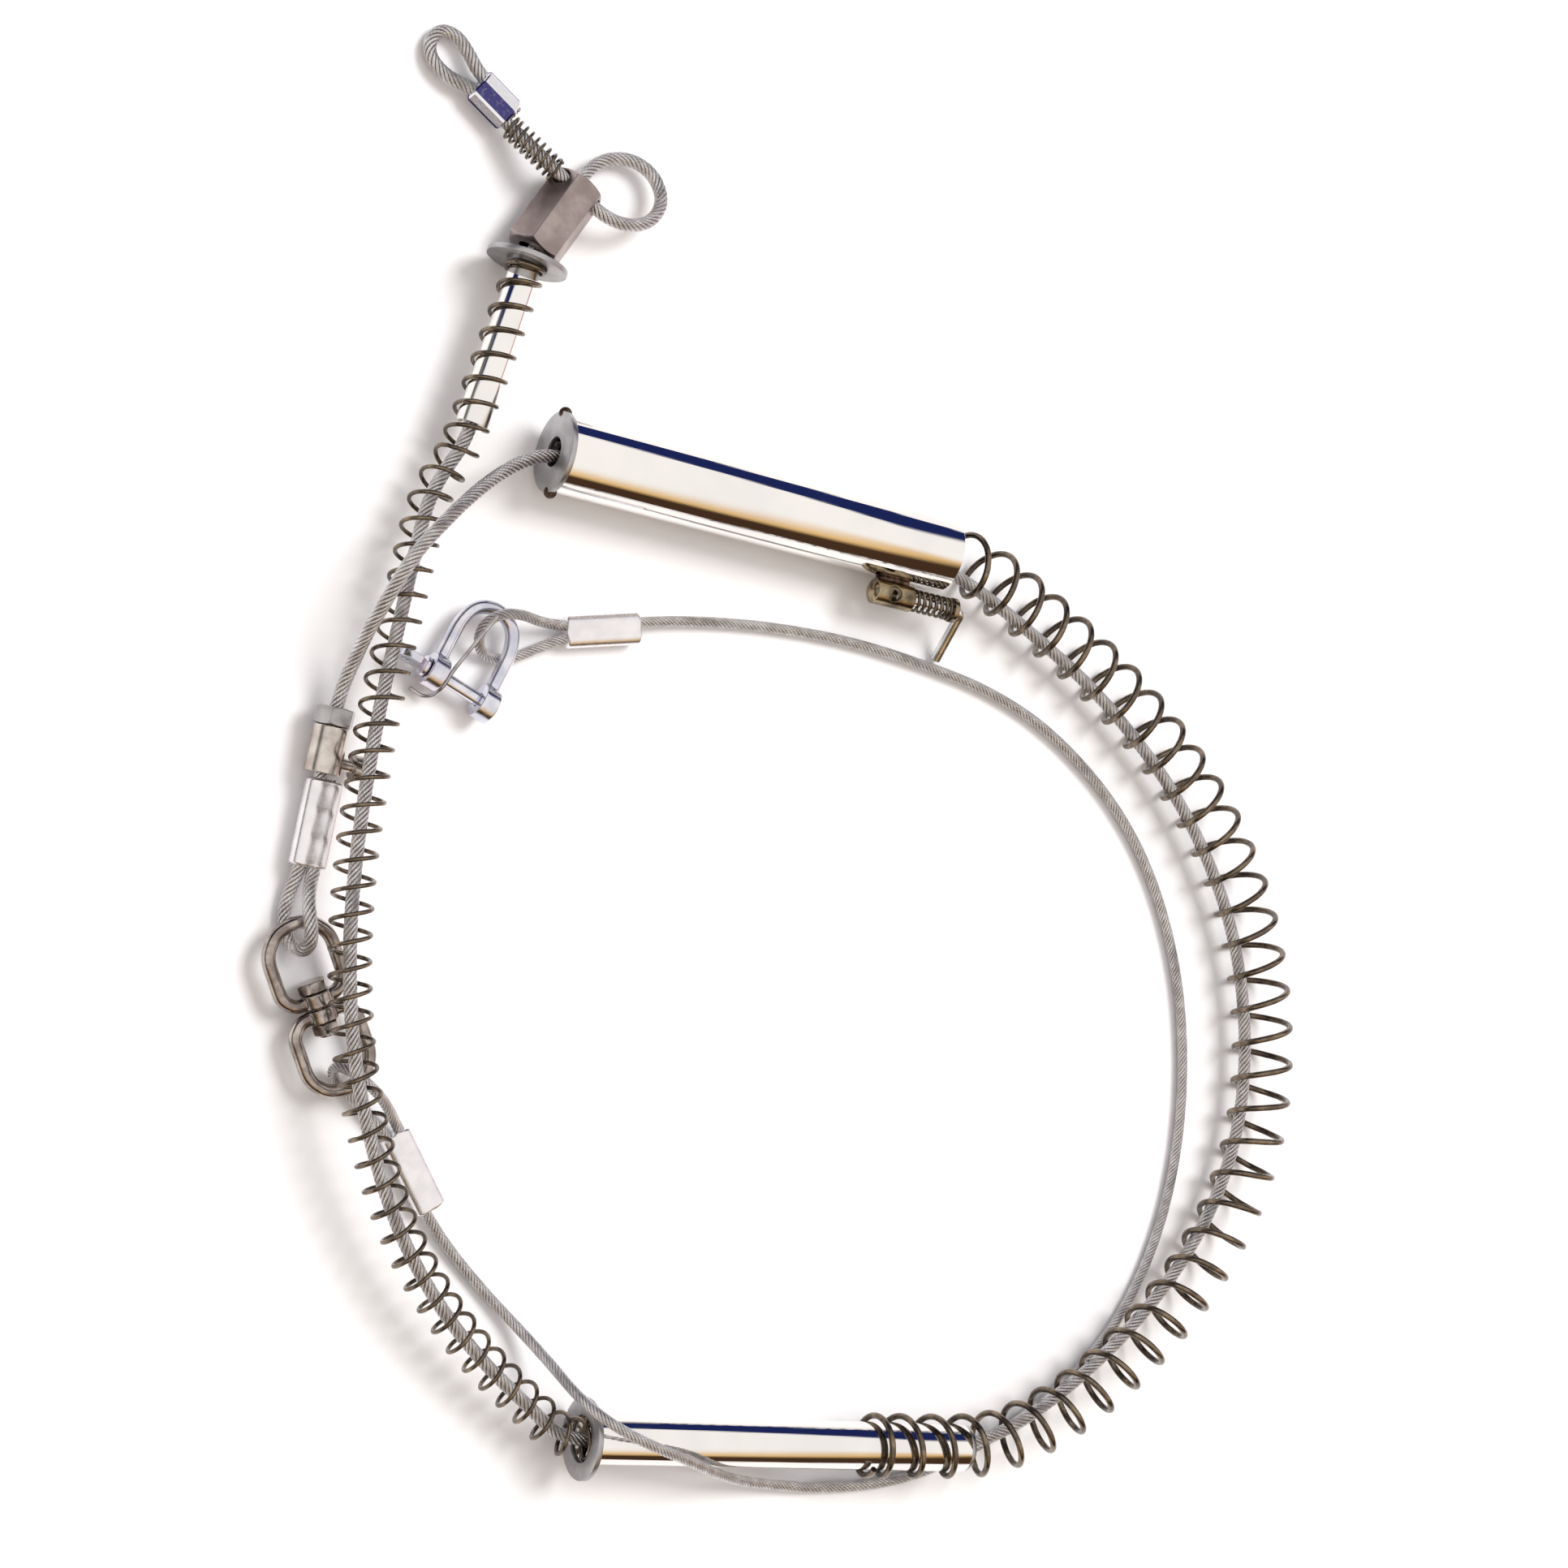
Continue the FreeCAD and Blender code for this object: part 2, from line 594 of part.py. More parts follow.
def shackle_bow():
    ear_y = (shackle_gap + ear_thickness) / 2
    top = shackle_reach - shackle_wire / 2
    points = [V(4, ear_y, 0), V(top - ear_y, ear_y, 0), V(top - 3.2, ear_y * 0.72, 0), V(top, 0, 0)]
    points += [V(top - 3.2, -ear_y * 0.72, 0), V(top - ear_y, -ear_y, 0), V(4, -ear_y, 0)]
    points[1] = V(top - ear_y, ear_y, 0.01)
    body = swept(points, shackle_wire)[0]
    for side in (1, -1):
        start = side * ear_y - ear_thickness / 2
        ear = Part.makeCylinder(ear_diameter / 2, ear_thickness, V(0, start, 0), V(0, 1, 0))
        body = body.fuse(ear)
    hole = Part.makeCylinder(shackle_pin / 2 + pin_fit, 60, V(0, -30, 0), V(0, 1, 0))
    return in_shackle(body.cut(hole))


def shackle_pin_solid():
    ear_face = shackle_gap / 2 + ear_thickness
    shank = Part.makeCylinder(shackle_pin / 2, 2 * ear_face + 2.4, V(0, -ear_face - 1.2, 0), V(0, 1, 0))
    collar = Part.makeCylinder(4.0, 1.6, V(0, ear_face + 0.3, 0), V(0, 1, 0))
    wing = Part.makeCylinder(wing_diameter / 2, wing_thickness, V(-wing_thickness / 2, 0, 0), V(1, 0, 0))
    wing = wing.cut(Part.makeCylinder(1.6, 10, V(-5, 1.6, 0), V(1, 0, 0)))
    wing.translate(V(0, ear_face + 1.4 + wing_diameter / 2, 0))
    return in_shackle(shank.fuse([collar, wing]))


def lock_wire():
    points = [V(26.6, 4.4, 12.6), V(14.0, 5.8, 8.4), V(3.0, 6.9, 4.6), V(-3.8, 7.0, 3.6)]
    points += [V(-7.6, 7.0, -1.4), V(-8.8, 9.6, -4.4), V(-8.4, 15.0, -5.0)]
    return in_shackle(swept(points, lock_wire_diameter)[0])


def cable(name, route, diameter):
    solid, length, radii = swept([at(point) for point in route], diameter)
    report_sweep(name, solid, length, diameter, radii)
    return solid


def main():
    os.makedirs("parts", exist_ok=True)
    makers = {
        "snare_cable": lambda: cable("snare_cable", snare_route, main_rope),
        "tether_cable": lambda: cable("tether_cable", tether_route, tether_rope),
        "housing_cap": housing_cap, "housing_tube": housing_tube, "cap_tack_welds": cap_tack_welds,
        "latch_barrel": latch_barrel, "latch_weld": latch_weld, "latch_spring": latch_spring,
        "latch_seat": latch_seat, "latch_pin": latch_pin, "large_spring": large_spring,
        "small_spring": small_spring, "buffer_spring": buffer_spring,
        "middle_flange": middle_flange, "middle_tube": middle_tube, "middle_stop": middle_stop,
        "plunger_tube": plunger_tube, "plunger_washer": plunger_washer, "long_nut": long_nut,
        "swivel_ferrule_snare": swivel_ferrule_snare, "swivel_ferrule_tether": swivel_ferrule_tether,
        "shackle_ferrule": shackle_ferrule, "noose_ferrule": noose_ferrule,
        "stopper_sleeve": stopper_sleeve, "stopper_gland": stopper_gland,
        "stopper_screw": stopper_screw, "swivel_bow_snare": lambda: swivel_bow(-1),
        "swivel_bow_tether": lambda: swivel_bow(1), "swivel_bolt": swivel_bolt,
        "swivel_nut": swivel_nut, "shackle_bow": shackle_bow, "shackle_pin": shackle_pin_solid,
        "lock_wire": lock_wire}
    for name, make in makers.items():
        shape = make()
        box = shape.BoundBox
        if not shape.isValid() or shape.Volume <= 0:
            raise ValueError(name + " is not a valid solid")
        shape.exportStep("parts/" + name + ".step")
        print("%-22s %4d faces %9.1f mm3  z %.2f to %.2f" % (
            name, len(shape.Faces), shape.Volume, box.ZMin, box.ZMax))


main()
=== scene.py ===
import json
import math

import bmesh
import bpy
from mathutils import Matrix, Vector


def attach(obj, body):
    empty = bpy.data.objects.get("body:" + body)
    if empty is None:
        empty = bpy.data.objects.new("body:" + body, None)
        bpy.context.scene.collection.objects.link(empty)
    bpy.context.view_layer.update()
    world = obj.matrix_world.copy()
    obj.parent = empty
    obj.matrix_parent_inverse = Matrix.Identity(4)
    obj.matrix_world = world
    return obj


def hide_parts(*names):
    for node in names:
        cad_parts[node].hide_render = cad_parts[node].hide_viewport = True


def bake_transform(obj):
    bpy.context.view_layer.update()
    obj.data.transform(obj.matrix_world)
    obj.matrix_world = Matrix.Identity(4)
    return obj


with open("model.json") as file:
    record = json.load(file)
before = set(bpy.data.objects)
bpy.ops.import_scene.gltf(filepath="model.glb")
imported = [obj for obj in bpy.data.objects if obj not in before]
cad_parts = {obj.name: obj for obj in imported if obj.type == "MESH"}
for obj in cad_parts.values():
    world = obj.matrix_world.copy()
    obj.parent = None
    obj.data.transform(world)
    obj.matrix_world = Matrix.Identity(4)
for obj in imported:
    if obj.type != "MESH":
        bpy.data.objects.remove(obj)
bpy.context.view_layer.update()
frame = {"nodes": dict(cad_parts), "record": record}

bl_info = {
    "name": "Cable snare builder",
    "version": (1, 0, 0),
    "blender": (4, 5, 0),
    "location": "View3D > Sidebar > Snare",
    "description": "Builds a spring powered cable snare with its ropes, springs and fittings",
    "category": "Object",
}

MM = 0.001
UP = Vector((0.0, 0.0, 1.0))
PLAN_CENTRE = Vector((5.5, -4.1, 0.0))

# The ropes' routes in plan millimetres.
SNARE_DEAD_LEG = [(-186.5, 1.0, 6.5), (-189.0, -11.5, 6.5), (-193.0, -30.5, 6.5)]
SNARE_SWIVEL_EYE = [
    (-197.0, -38.5, 11.5), (-197.5, -46.0, 14.0), (-196.5, -54.5, 14.0), (-197.5, -58.5, 8.0),
    (-200.5, -56.0, 3.0), (-203.0, -47.5, 3.0), (-201.5, -39.5, 3.5)]
SNARE_STOP_LEG = [
    (-198.0, -29.5, 6.0), (-194.0, -11.5, 7.0), (-189.5, 9.0, 8.5), (-184.5, 32.5, 10.5)]
SNARE_HUMP = [
    (-181.5, 43.0, 15.5), (-180.0, 52.0, 22.5), (-176.5, 61.5, 28.5), (-172.0, 71.0, 32.5),
    (-165.5, 81.0, 33.5), (-155.0, 91.0, 32.5), (-141.0, 101.5, 26.0), (-126.0, 110.5, 19.0),
    (-112.5, 116.5, 15.0)]
SNARE_IN_HOUSING = [
    (-101.0, 117.5, 14.5), (-81.0, 113.0, 13.0), (-48.0, 105.0, 12.0), (-10.0, 96.0, 11.5),
    (24.0, 89.0, 12.0), (50.0, 83.5, 13.0)]
SNARE_IN_LARGE_SPRING = [
    (68.5, 79.0, 12.5), (85.5, 70.0, 10.5), (109.5, 54.5, 9.0), (132.5, 37.5, 9.0),
    (154.5, 16.5, 9.0), (172.5, -4.5, 9.0), (186.5, -27.0, 9.0), (197.0, -49.5, 9.0),
    (203.5, -73.0, 9.0), (206.5, -101.0, 9.0), (204.5, -129.0, 9.0), (197.5, -152.5, 9.0),
    (186.0, -173.5, 9.5), (169.5, -193.0, 11.0), (149.5, -211.0, 12.5), (126.5, -227.5, 13.5),
    (104.0, -240.0, 14.5), (85.0, -247.5, 16.0)]
SNARE_IN_MIDDLE_TUBE = [
    (66.0, -250.5, 17.0), (28.0, -246.5, 17.0), (-12.0, -243.5, 16.0), (-52.0, -238.5, 15.5),
    (-82.0, -236.5, 15.0)]
SNARE_IN_SMALL_SPRING = [
    (-101.0, -234.0, 15.0), (-113.0, -222.5, 15.5), (-129.5, -207.5, 16.5), (-146.0, -189.5, 18.5),
    (-160.5, -168.5, 20.5), (-171.0, -147.5, 22.0), (-179.0, -125.0, 24.5), (-184.5, -102.5, 25.0),
    (-187.0, -79.0, 24.5), (-187.0, -51.5, 24.0), (-184.5, -24.0, 24.0), (-179.5, 4.5, 23.0),
    (-173.5, 30.0, 21.0), (-166.5, 53.0, 18.5), (-160.0, 76.0, 16.5), (-154.0, 98.0, 15.5),
    (-147.0, 110.0, 15.0), (-139.0, 120.0, 15.0)]
SNARE_IN_THIN_TUBE = [
    (-133.5, 135.0, 15.0), (-127.0, 151.5, 15.0), (-121.0, 168.0, 15.0), (-115.0, 184.0, 14.5)]
SNARE_NOOSE = [
    (-110.0, 191.0, 11.5), (-100.5, 203.0, 9.0), (-91.0, 215.0, 7.5), (-85.0, 222.0, 5.0),
    (-77.0, 227.0, 4.5), (-67.0, 227.5, 5.0), (-58.5, 222.5, 6.0), (-55.5, 213.5, 8.0),
    (-60.0, 205.5, 10.5), (-69.5, 201.5, 12.5), (-81.5, 203.5, 13.5), (-92.5, 212.0, 13.5),
    (-104.0, 221.0, 13.5), (-111.0, 228.5, 10.5)]
SNARE_FERRULE_IN = [(-118.0, 236.0, 6.5), (-131.5, 248.0, 5.5)]
SNARE_END_EYE = [
    (-139.5, 250.5, 4.5), (-146.0, 256.0, 3.5), (-147.5, 262.5, 3.0), (-143.0, 268.0, 3.0),
    (-136.5, 266.5, 3.5), (-132.0, 260.0, 4.5)]
SNARE_FERRULE_OUT = [(-128.0, 252.0, 5.5), (-114.5, 240.0, 6.5)]
SNARE_ROUTE = (
    SNARE_DEAD_LEG + SNARE_SWIVEL_EYE + SNARE_STOP_LEG + SNARE_HUMP + SNARE_IN_HOUSING
    + SNARE_IN_LARGE_SPRING + SNARE_IN_MIDDLE_TUBE + SNARE_IN_SMALL_SPRING + SNARE_IN_THIN_TUBE
    + SNARE_NOOSE + SNARE_FERRULE_IN + SNARE_END_EYE + SNARE_FERRULE_OUT)

TETHER_DEAD_LEG = [(-145.0, -149.0, 4.0), (-151.5, -137.0, 4.0), (-159.5, -121.5, 4.0)]
TETHER_SWIVEL_EYE = [
    (-166.5, -112.0, 9.0), (-174.5, -105.5, 14.5), (-181.5, -100.0, 14.5), (-185.0, -98.0, 8.5),
    (-185.0, -101.5, 3.0), (-179.0, -108.0, 3.0), (-171.5, -115.5, 3.5)]
TETHER_LIVE_LEG = [(-163.5, -124.0, 4.0), (-157.0, -136.5, 4.0), (-149.0, -152.0, 4.0)]
TETHER_HUMP = [
    (-138.5, -166.5, 2.5), (-124.0, -183.0, 2.5), (-111.0, -197.0, 5.0), (-103.5, -208.0, 13.0),
    (-98.5, -219.0, 26.0), (-89.5, -228.0, 34.0), (-75.0, -236.0, 35.5), (-58.5, -243.0, 31.0),
    (-44.0, -249.5, 23.0), (-28.5, -255.5, 12.5), (-9.5, -260.0, 5.0)]
TETHER_ROUND = [
    (14.0, -264.0, 2.5), (44.0, -264.5, 2.5), (66.5, -260.0, 2.5), (90.5, -251.5, 2.5),
    (112.5, -240.5, 2.5), (134.0, -226.0, 2.5), (154.0, -204.5, 2.5), (169.5, -175.5, 2.5),
    (178.5, -142.0, 2.5), (181.0, -107.0, 2.5), (177.5, -72.0, 2.5), (166.0, -36.5, 2.5),
    (147.0, -6.5, 2.5), (119.0, 19.5, 2.5), (91.5, 35.0, 2.5), (63.0, 44.5, 2.5),
    (28.5, 53.5, 2.5), (-6.5, 58.5, 2.5), (-40.0, 60.0, 3.0)]
TETHER_FERRULE_IN = [(-63.0, 59.0, 4.5), (-80.0, 58.0, 4.5), (-94.5, 57.0, 4.5)]
TETHER_SHACKLE_EYE = [
    (-106.0, 58.0, 9.0), (-115.5, 60.5, 13.0), (-124.5, 60.5, 14.0), (-130.5, 56.0, 11.5),
    (-130.0, 49.5, 7.0), (-124.5, 45.0, 2.5), (-115.5, 44.5, 2.5), (-105.0, 48.5, 3.0)]
TETHER_FERRULE_OUT = [(-94.5, 52.5, 4.5), (-80.0, 53.5, 4.5), (-64.5, 54.5, 4.5)]
TETHER_ROUTE = (
    TETHER_DEAD_LEG + TETHER_SWIVEL_EYE + TETHER_LIVE_LEG + TETHER_HUMP + TETHER_ROUND
    + TETHER_FERRULE_IN + TETHER_SHACKLE_EYE + TETHER_FERRULE_OUT)

LARGE_SPRING_LINE = [
    (-98.0, 117.5, 15.0), (-20.0, 102.5, 15.0), (30.0, 92.5, 15.0), (72.0, 84.5, 15.0),
    (88.5, 75.0, 13.5), (112.5, 59.0, 12.5), (136.5, 41.0, 12.5), (159.0, 20.0, 12.5),
    (177.5, -1.5, 12.5), (192.5, -24.5, 12.5), (203.0, -48.0, 12.5), (209.5, -72.5, 12.5),
    (212.5, -101.5, 12.5), (210.5, -130.5, 12.5), (203.0, -155.0, 12.5), (191.0, -176.5, 13.0),
    (174.0, -197.0, 14.5), (152.5, -215.5, 16.5), (128.0, -232.5, 17.5), (105.0, -244.0, 17.5),
    (86.0, -249.5, 17.5), (69.0, -251.0, 17.5), (25.0, -246.5, 17.0)]
SMALL_SPRING_START = [(66.0, -250.8, 17.3), (-12.0, -243.0, 16.2), (-82.0, -236.0, 15.2)]
SMALL_SPRING_END = [(-114.6, 184.8, 15.0)]

HOUSING_START = Vector((-103.8, 118.8, 15.0))
HOUSING_END = Vector((61.3, 86.7, 15.0))
MIDDLE_START = Vector((-93.0, -234.9, 15.0))
MIDDLE_END = Vector((69.1, -251.1, 17.4))
PLUNGER_START = Vector((-114.6, 184.8, 15.0))
PLUNGER_END = Vector((-136.5, 126.5, 15.0))

# The short springs' lines, and where the small spring is cut in two.
BUFFER_SPRING_LINE = [
    (-101.8, 219.3, 13.5), (-104.0, 221.0, 13.5), (-111.0, 228.5, 10.5), (-117.0, 235.0, 7.0)]
LATCH_SPRING_PLACES = (157.2, 165.4, 173.7)
LATCH_OFFSET = 20.0
SMALL_SPRING_SPLIT = (-187.0, -51.5, 24.0)
MIDDLE_EASE = 25
PLUNGER_EASE = 40
LARGE_SPRING_PHASE = 4.97
SMALL_SPRING_PHASE = 0.4

# Meshes: steps and edges in millimetres, the rest as counts or shares.
ROUTE_RESOLUTION = 10
ROPE_STEP = 0.9
SPRING_STEP = 0.6
FEWEST_TURNS = 2.0
STRAND_SIDES = 8
STRAND_SHARE = 0.145
CORE_SHARE = 0.92
GROOVE_SHARE = 0.85
LAY_DIAMETER = 0.005
TURNED_SIDES = 160
TURNED_EDGE = 0.3
EDGE_ROUNDING = 0.3
SEAM_GAP = 0.01
SLEEVE_RINGS = 96
SLEEVE_SIDES = 48
SLEEVE_SQUARENESS = 2.7
SLEEVE_END_EASE = 0.16
SLEEVE_END_LENGTH = 1.1
SLEEVE_WAIST = 0.16
SLEEVE_WAIST_WIDTH = 0.42
FACET_SPREAD = 1.04

# Finishes: fine patterns in radians a metre or a turn.
NOISE_ROUGHNESS = 0.55
COAT_ROUGHNESS = 0.1
BRIGHTEST_WIRE = 0.92
WIRES_IN_STRAND = 7.0
WIRE_LAY = 5200.0
TURNING_MARKS = 9000.0
DRAWING_LINES = 900.0
FACET_COUNT = 8
FACET_PHASE = 0.6
# Painted shade for the grooves between a rope's strands.
ROPE_GROOVE_SHADE = (0.03, 0.025, 0.027)

# The studio: directions, angles in degrees and the dome's colours.
CAMERA_TILT = 30
CAMERA_CLIP = 0.05
FLOOR_REACH = 6.0
FLOOR_GAP = 0.0001
FLOOR_TONE = (0.90, 0.90, 0.93, 1)
KEY_SOFTNESS = 30
KEY_TONE = (1.0, 0.985, 0.95)
KEY_SIDE = (0.55, 0.45, 1.0)
CREAM = (1.0, 0.97, 0.94)
NAVY = (0.012, 0.02, 0.10)
GOLD = (0.80, 0.52, 0.22)
BROWN = (0.06, 0.03, 0.016)
GREY_GREEN = (0.16, 0.17, 0.15)
WINE = (0.45, 0.08, 0.10)


def at(point):
    """A plan point in metres about the layout's centre."""
    return (Vector(point) - PLAN_CENTRE) * MM


def heading(start, end):
    """The direction from one point to the other, one unit long."""
    return (end - start).normalized()


def local_frame(origin, along):
    """Matrix whose X runs along the piece, with its Z as near up as it can be."""
    side = UP.cross(along).normalized()
    above = along.cross(side)
    matrix = Matrix((along, side, above)).transposed().to_4x4()
    matrix.translation = origin
    return matrix


# ---- meshes ---------------------------------------------------------------
def new_object(name, vertices, faces, sharp=None):
    """A smooth shaded mesh, creased where its faces meet at more than sharp degrees."""
    mesh = bpy.data.meshes.new(name)
    mesh.from_pydata([tuple(v) for v in vertices], [], faces)
    mesh.validate()
    mesh.shade_smooth()
    if sharp is not None:
        mesh.set_sharp_from_angle(angle=math.radians(sharp))
    mesh.update()
    obj = bpy.data.objects.new(name, mesh)
    bpy.context.scene.collection.objects.link(obj)
    return obj


def shade(obj, name, values):
    """Store one number per point for the shaders."""
    layer = obj.data.attributes.new(name, "FLOAT", "POINT")
    layer.data.foreach_set("value", values)


def spline_points(name, points):
    """The points of a smooth NURBS route through the plan points' corners."""
    curve = bpy.data.curves.new(name + "_route", "CURVE")
    curve.dimensions = "3D"
    curve.resolution_u = ROUTE_RESOLUTION
    spline = curve.splines.new("NURBS")
    spline.points.add(len(points) - 1)
    for place, point in zip(spline.points, points):
        place.co = (*at(point), 1.0)
    spline.order_u = 3
    spline.use_endpoint_u = True
    route = bpy.data.objects.new(name + "_route", curve)
    bpy.context.scene.collection.objects.link(route)
    bpy.context.view_layer.update()
    graph = bpy.context.evaluated_depsgraph_get()
    mesh = bpy.data.meshes.new_from_object(route.evaluated_get(graph))
    result = [vertex.co.copy() for vertex in mesh.vertices]
    bpy.data.meshes.remove(mesh)
    bpy.data.objects.remove(route)
    return result


def even_steps(points, step):
    """The same line with points an even step apart."""
    lengths = [0.0]
    for before, after in zip(points, points[1:]):
        lengths.append(lengths[-1] + (after - before).length)
    count = max(2, int(lengths[-1] / step))
    result, index = [], 0
    for number in range(count + 1):
        place = lengths[-1] * number / count
        while index < len(points) - 2 and lengths[index + 1] < place:
            index += 1
        span = max(lengths[index + 1] - lengths[index], 1e-9)
        result.append(points[index].lerp(points[index + 1], (place - lengths[index]) / span))
    return result, lengths[-1]


def carried_frames(points):
    """Side and upper directions carried along a line with no twist of their own."""
    frames = []
    tangent = heading(points[0], points[1])
    side = tangent.cross(UP).normalized()
    for index, point in enumerate(points):
        before = points[max(index - 1, 0)]
        after = points[min(index + 1, len(points) - 1)]
        following = heading(before, after)
        side = tangent.rotation_difference(following) @ side
        tangent = following
        side = (side - tangent * side.dot(tangent)).normalized()
        frames.append((tangent, side, tangent.cross(side)))
    return frames


def tube_geometry(points, radius, sides, start):
    """Points, faces and (along, around) pairs of a capped round tube on a line."""
    vertices, faces, marks = [], [], []
    travelled = 0.0
    frames = carried_frames(points)
    last = len(points) - 1
    for index, (point, (tangent, side, above)) in enumerate(zip(points, frames)):
        if index:
            travelled += (point - points[index - 1]).length
        for turn in range(sides):
            angle = 2 * math.pi * turn / sides
            vertices.append(point + (side * math.cos(angle) + above * math.sin(angle)) * radius)
            marks.append((travelled, angle))
    for index in range(last):
        for turn in range(sides):
            low = start + index * sides
            high = low + sides
            follow = (turn + 1) % sides
            faces.append((low + turn, low + follow, high + follow, high + turn))
    faces.append(tuple(start + turn for turn in reversed(range(sides))))
    faces.append(tuple(start + last * sides + turn for turn in range(sides)))
    return vertices, faces, marks


def keep_modifiers(obj):
    """Make the modifiers' result the object's own mesh."""
    bpy.context.view_layer.update()
    graph = bpy.context.evaluated_depsgraph_get()
    mesh = bpy.data.meshes.new_from_object(obj.evaluated_get(graph))
    mesh.name = obj.name
    obj.modifiers.clear()
    obj.data = mesh
    return obj


def lathe(name, profile, origin, along):
    """A closed turned ring from a loop of (along, radius) pairs in millimetres."""
    matrix = local_frame(at(origin), along)
    segments = TURNED_SIDES
    vertices, faces = [], []
    count = len(profile)
    for turn in range(segments):
        angle = 2 * math.pi * turn / segments
        for place, radius in profile:
            local = Vector((place, radius * math.cos(angle), radius * math.sin(angle))) * MM
            vertices.append(matrix @ local)
    for turn in range(segments):
        follow = (turn + 1) % segments
        for spot in range(count):
            ahead = (spot + 1) % count
            faces.append((turn * count + spot, follow * count + spot,
                          follow * count + ahead, turn * count + ahead))
    obj = new_object(name, vertices, faces, sharp=28)
    radii = [radius * MM for turn in range(segments) for place, radius in profile]
    places = [place * MM for turn in range(segments) for place, radius in profile]
    angles = [turn / segments for turn in range(segments) for spot in profile]
    shade(obj, "radius", radii)
    shade(obj, "along", places)
    shade(obj, "around", angles)
    flip_outward(obj)
    return obj


def cut_across(obj, name, height):
    """Split a spring at a level of Y. The part above it becomes a new piece."""
    other = bpy.data.objects.new(name, obj.data.copy())
    bpy.context.scene.collection.objects.link(other)
    for half, upper in ((obj, False), (other, True)):
        work = bmesh.new()
        work.from_mesh(half.data)
        geometry = work.verts[:] + work.edges[:] + work.faces[:]
        cut = bmesh.ops.bisect_plane(
            work, geom=geometry, plane_co=(0, height, 0), plane_no=(0, 1, 0),
            clear_outer=not upper, clear_inner=upper)
        rim = [item for item in cut["geom_cut"] if isinstance(item, bmesh.types.BMEdge)]
        bmesh.ops.holes_fill(work, edges=rim, sides=0)
        work.to_mesh(half.data)
        work.free()
    return other


def flip_outward(obj):
    """Turn the faces' normals outward."""
    work = bmesh.new()
    work.from_mesh(obj.data)
    bmesh.ops.recalc_face_normals(work, faces=work.faces)
    work.to_mesh(obj.data)
    work.free()


def ring_profile(start, end, outer, inner, edge):
    """A hollow ring's section with small rounded edges."""
    small = edge * EDGE_ROUNDING
    return [
        (start, inner + edge), (start, outer - edge), (start + small, outer - small),
        (start + edge, outer), (end - edge, outer), (end - small, outer - small),
        (end, outer - edge), (end, inner + edge), (end - small, inner + small),
        (end - edge, inner), (start + edge, inner), (start + small, inner + small)]


def softened(node, name, voxel, passes):
    """A finely meshed copy of a machined piece, with its edges broken."""
    source = frame["nodes"][node]
    obj = bpy.data.objects.new(name, source.data.copy())
    obj.data.materials.clear()
    bpy.context.scene.collection.objects.link(obj)
    weld = obj.modifiers.new("close seams", "WELD")
    weld.merge_threshold = SEAM_GAP * MM
    remesh = obj.modifiers.new("fine skin", "REMESH")
    remesh.mode = "VOXEL"
    remesh.voxel_size = voxel * MM
    smooth = obj.modifiers.new("broken edges", "SMOOTH")
    smooth.factor = 0.5
    smooth.iterations = passes
    keep_modifiers(obj)
    obj.data.shade_smooth()
    return obj


def stand_for(obj, node, material, rides=True):
    """Give the piece its body and its finish, and hide the machined piece it stands for."""
    record = frame["record"]
    for body, nodes in record["behaviour"]["bodies"].items():
        if node in nodes and rides:
            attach(obj, body)
    for part in record["subparts"]:
        part["node"] == node
    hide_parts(node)
    obj.data.materials.clear()
    obj.data.materials.append(material)
    return obj


# ---- shaders ---------------------------------------------------------------
class Value:
    """A number's socket that takes part in sums."""

    def __init__(self, tree, socket):
        self.tree = tree
        self.socket = socket

    def join(self, operation, other, swap=False):
        node = self.tree.nodes.new("ShaderNodeMath")
        node.operation = operation
        pair = (other, self) if swap else (self, other)
        for slot, item in zip(node.inputs, pair):
            if isinstance(item, Value):
                self.tree.links.new(item.socket, slot)
            elif item is not None:
                slot.default_value = item
        return Value(self.tree, node.outputs[0])

    def __add__(self, other):
        return self.join("ADD", other)

    def __radd__(self, other):
        return self.join("ADD", other, True)

    def __sub__(self, other):
        return self.join("SUBTRACT", other)

    def __rsub__(self, other):
        return self.join("SUBTRACT", other, True)

    def __mul__(self, other):
        return self.join("MULTIPLY", other)

    def __rmul__(self, other):
        return self.join("MULTIPLY", other, True)

    def sine(self):
        return self.join("SINE", None)

    def step(self, low, high):
        """0 below low, 1 above high, smooth between."""
        node = self.tree.nodes.new("ShaderNodeMapRange")
        node.interpolation_type = "SMOOTHSTEP"
        self.tree.links.new(self.socket, node.inputs["Value"])
        node.inputs["From Min"].default_value = low
        node.inputs["From Max"].default_value = high
        return Value(self.tree, node.outputs["Result"])


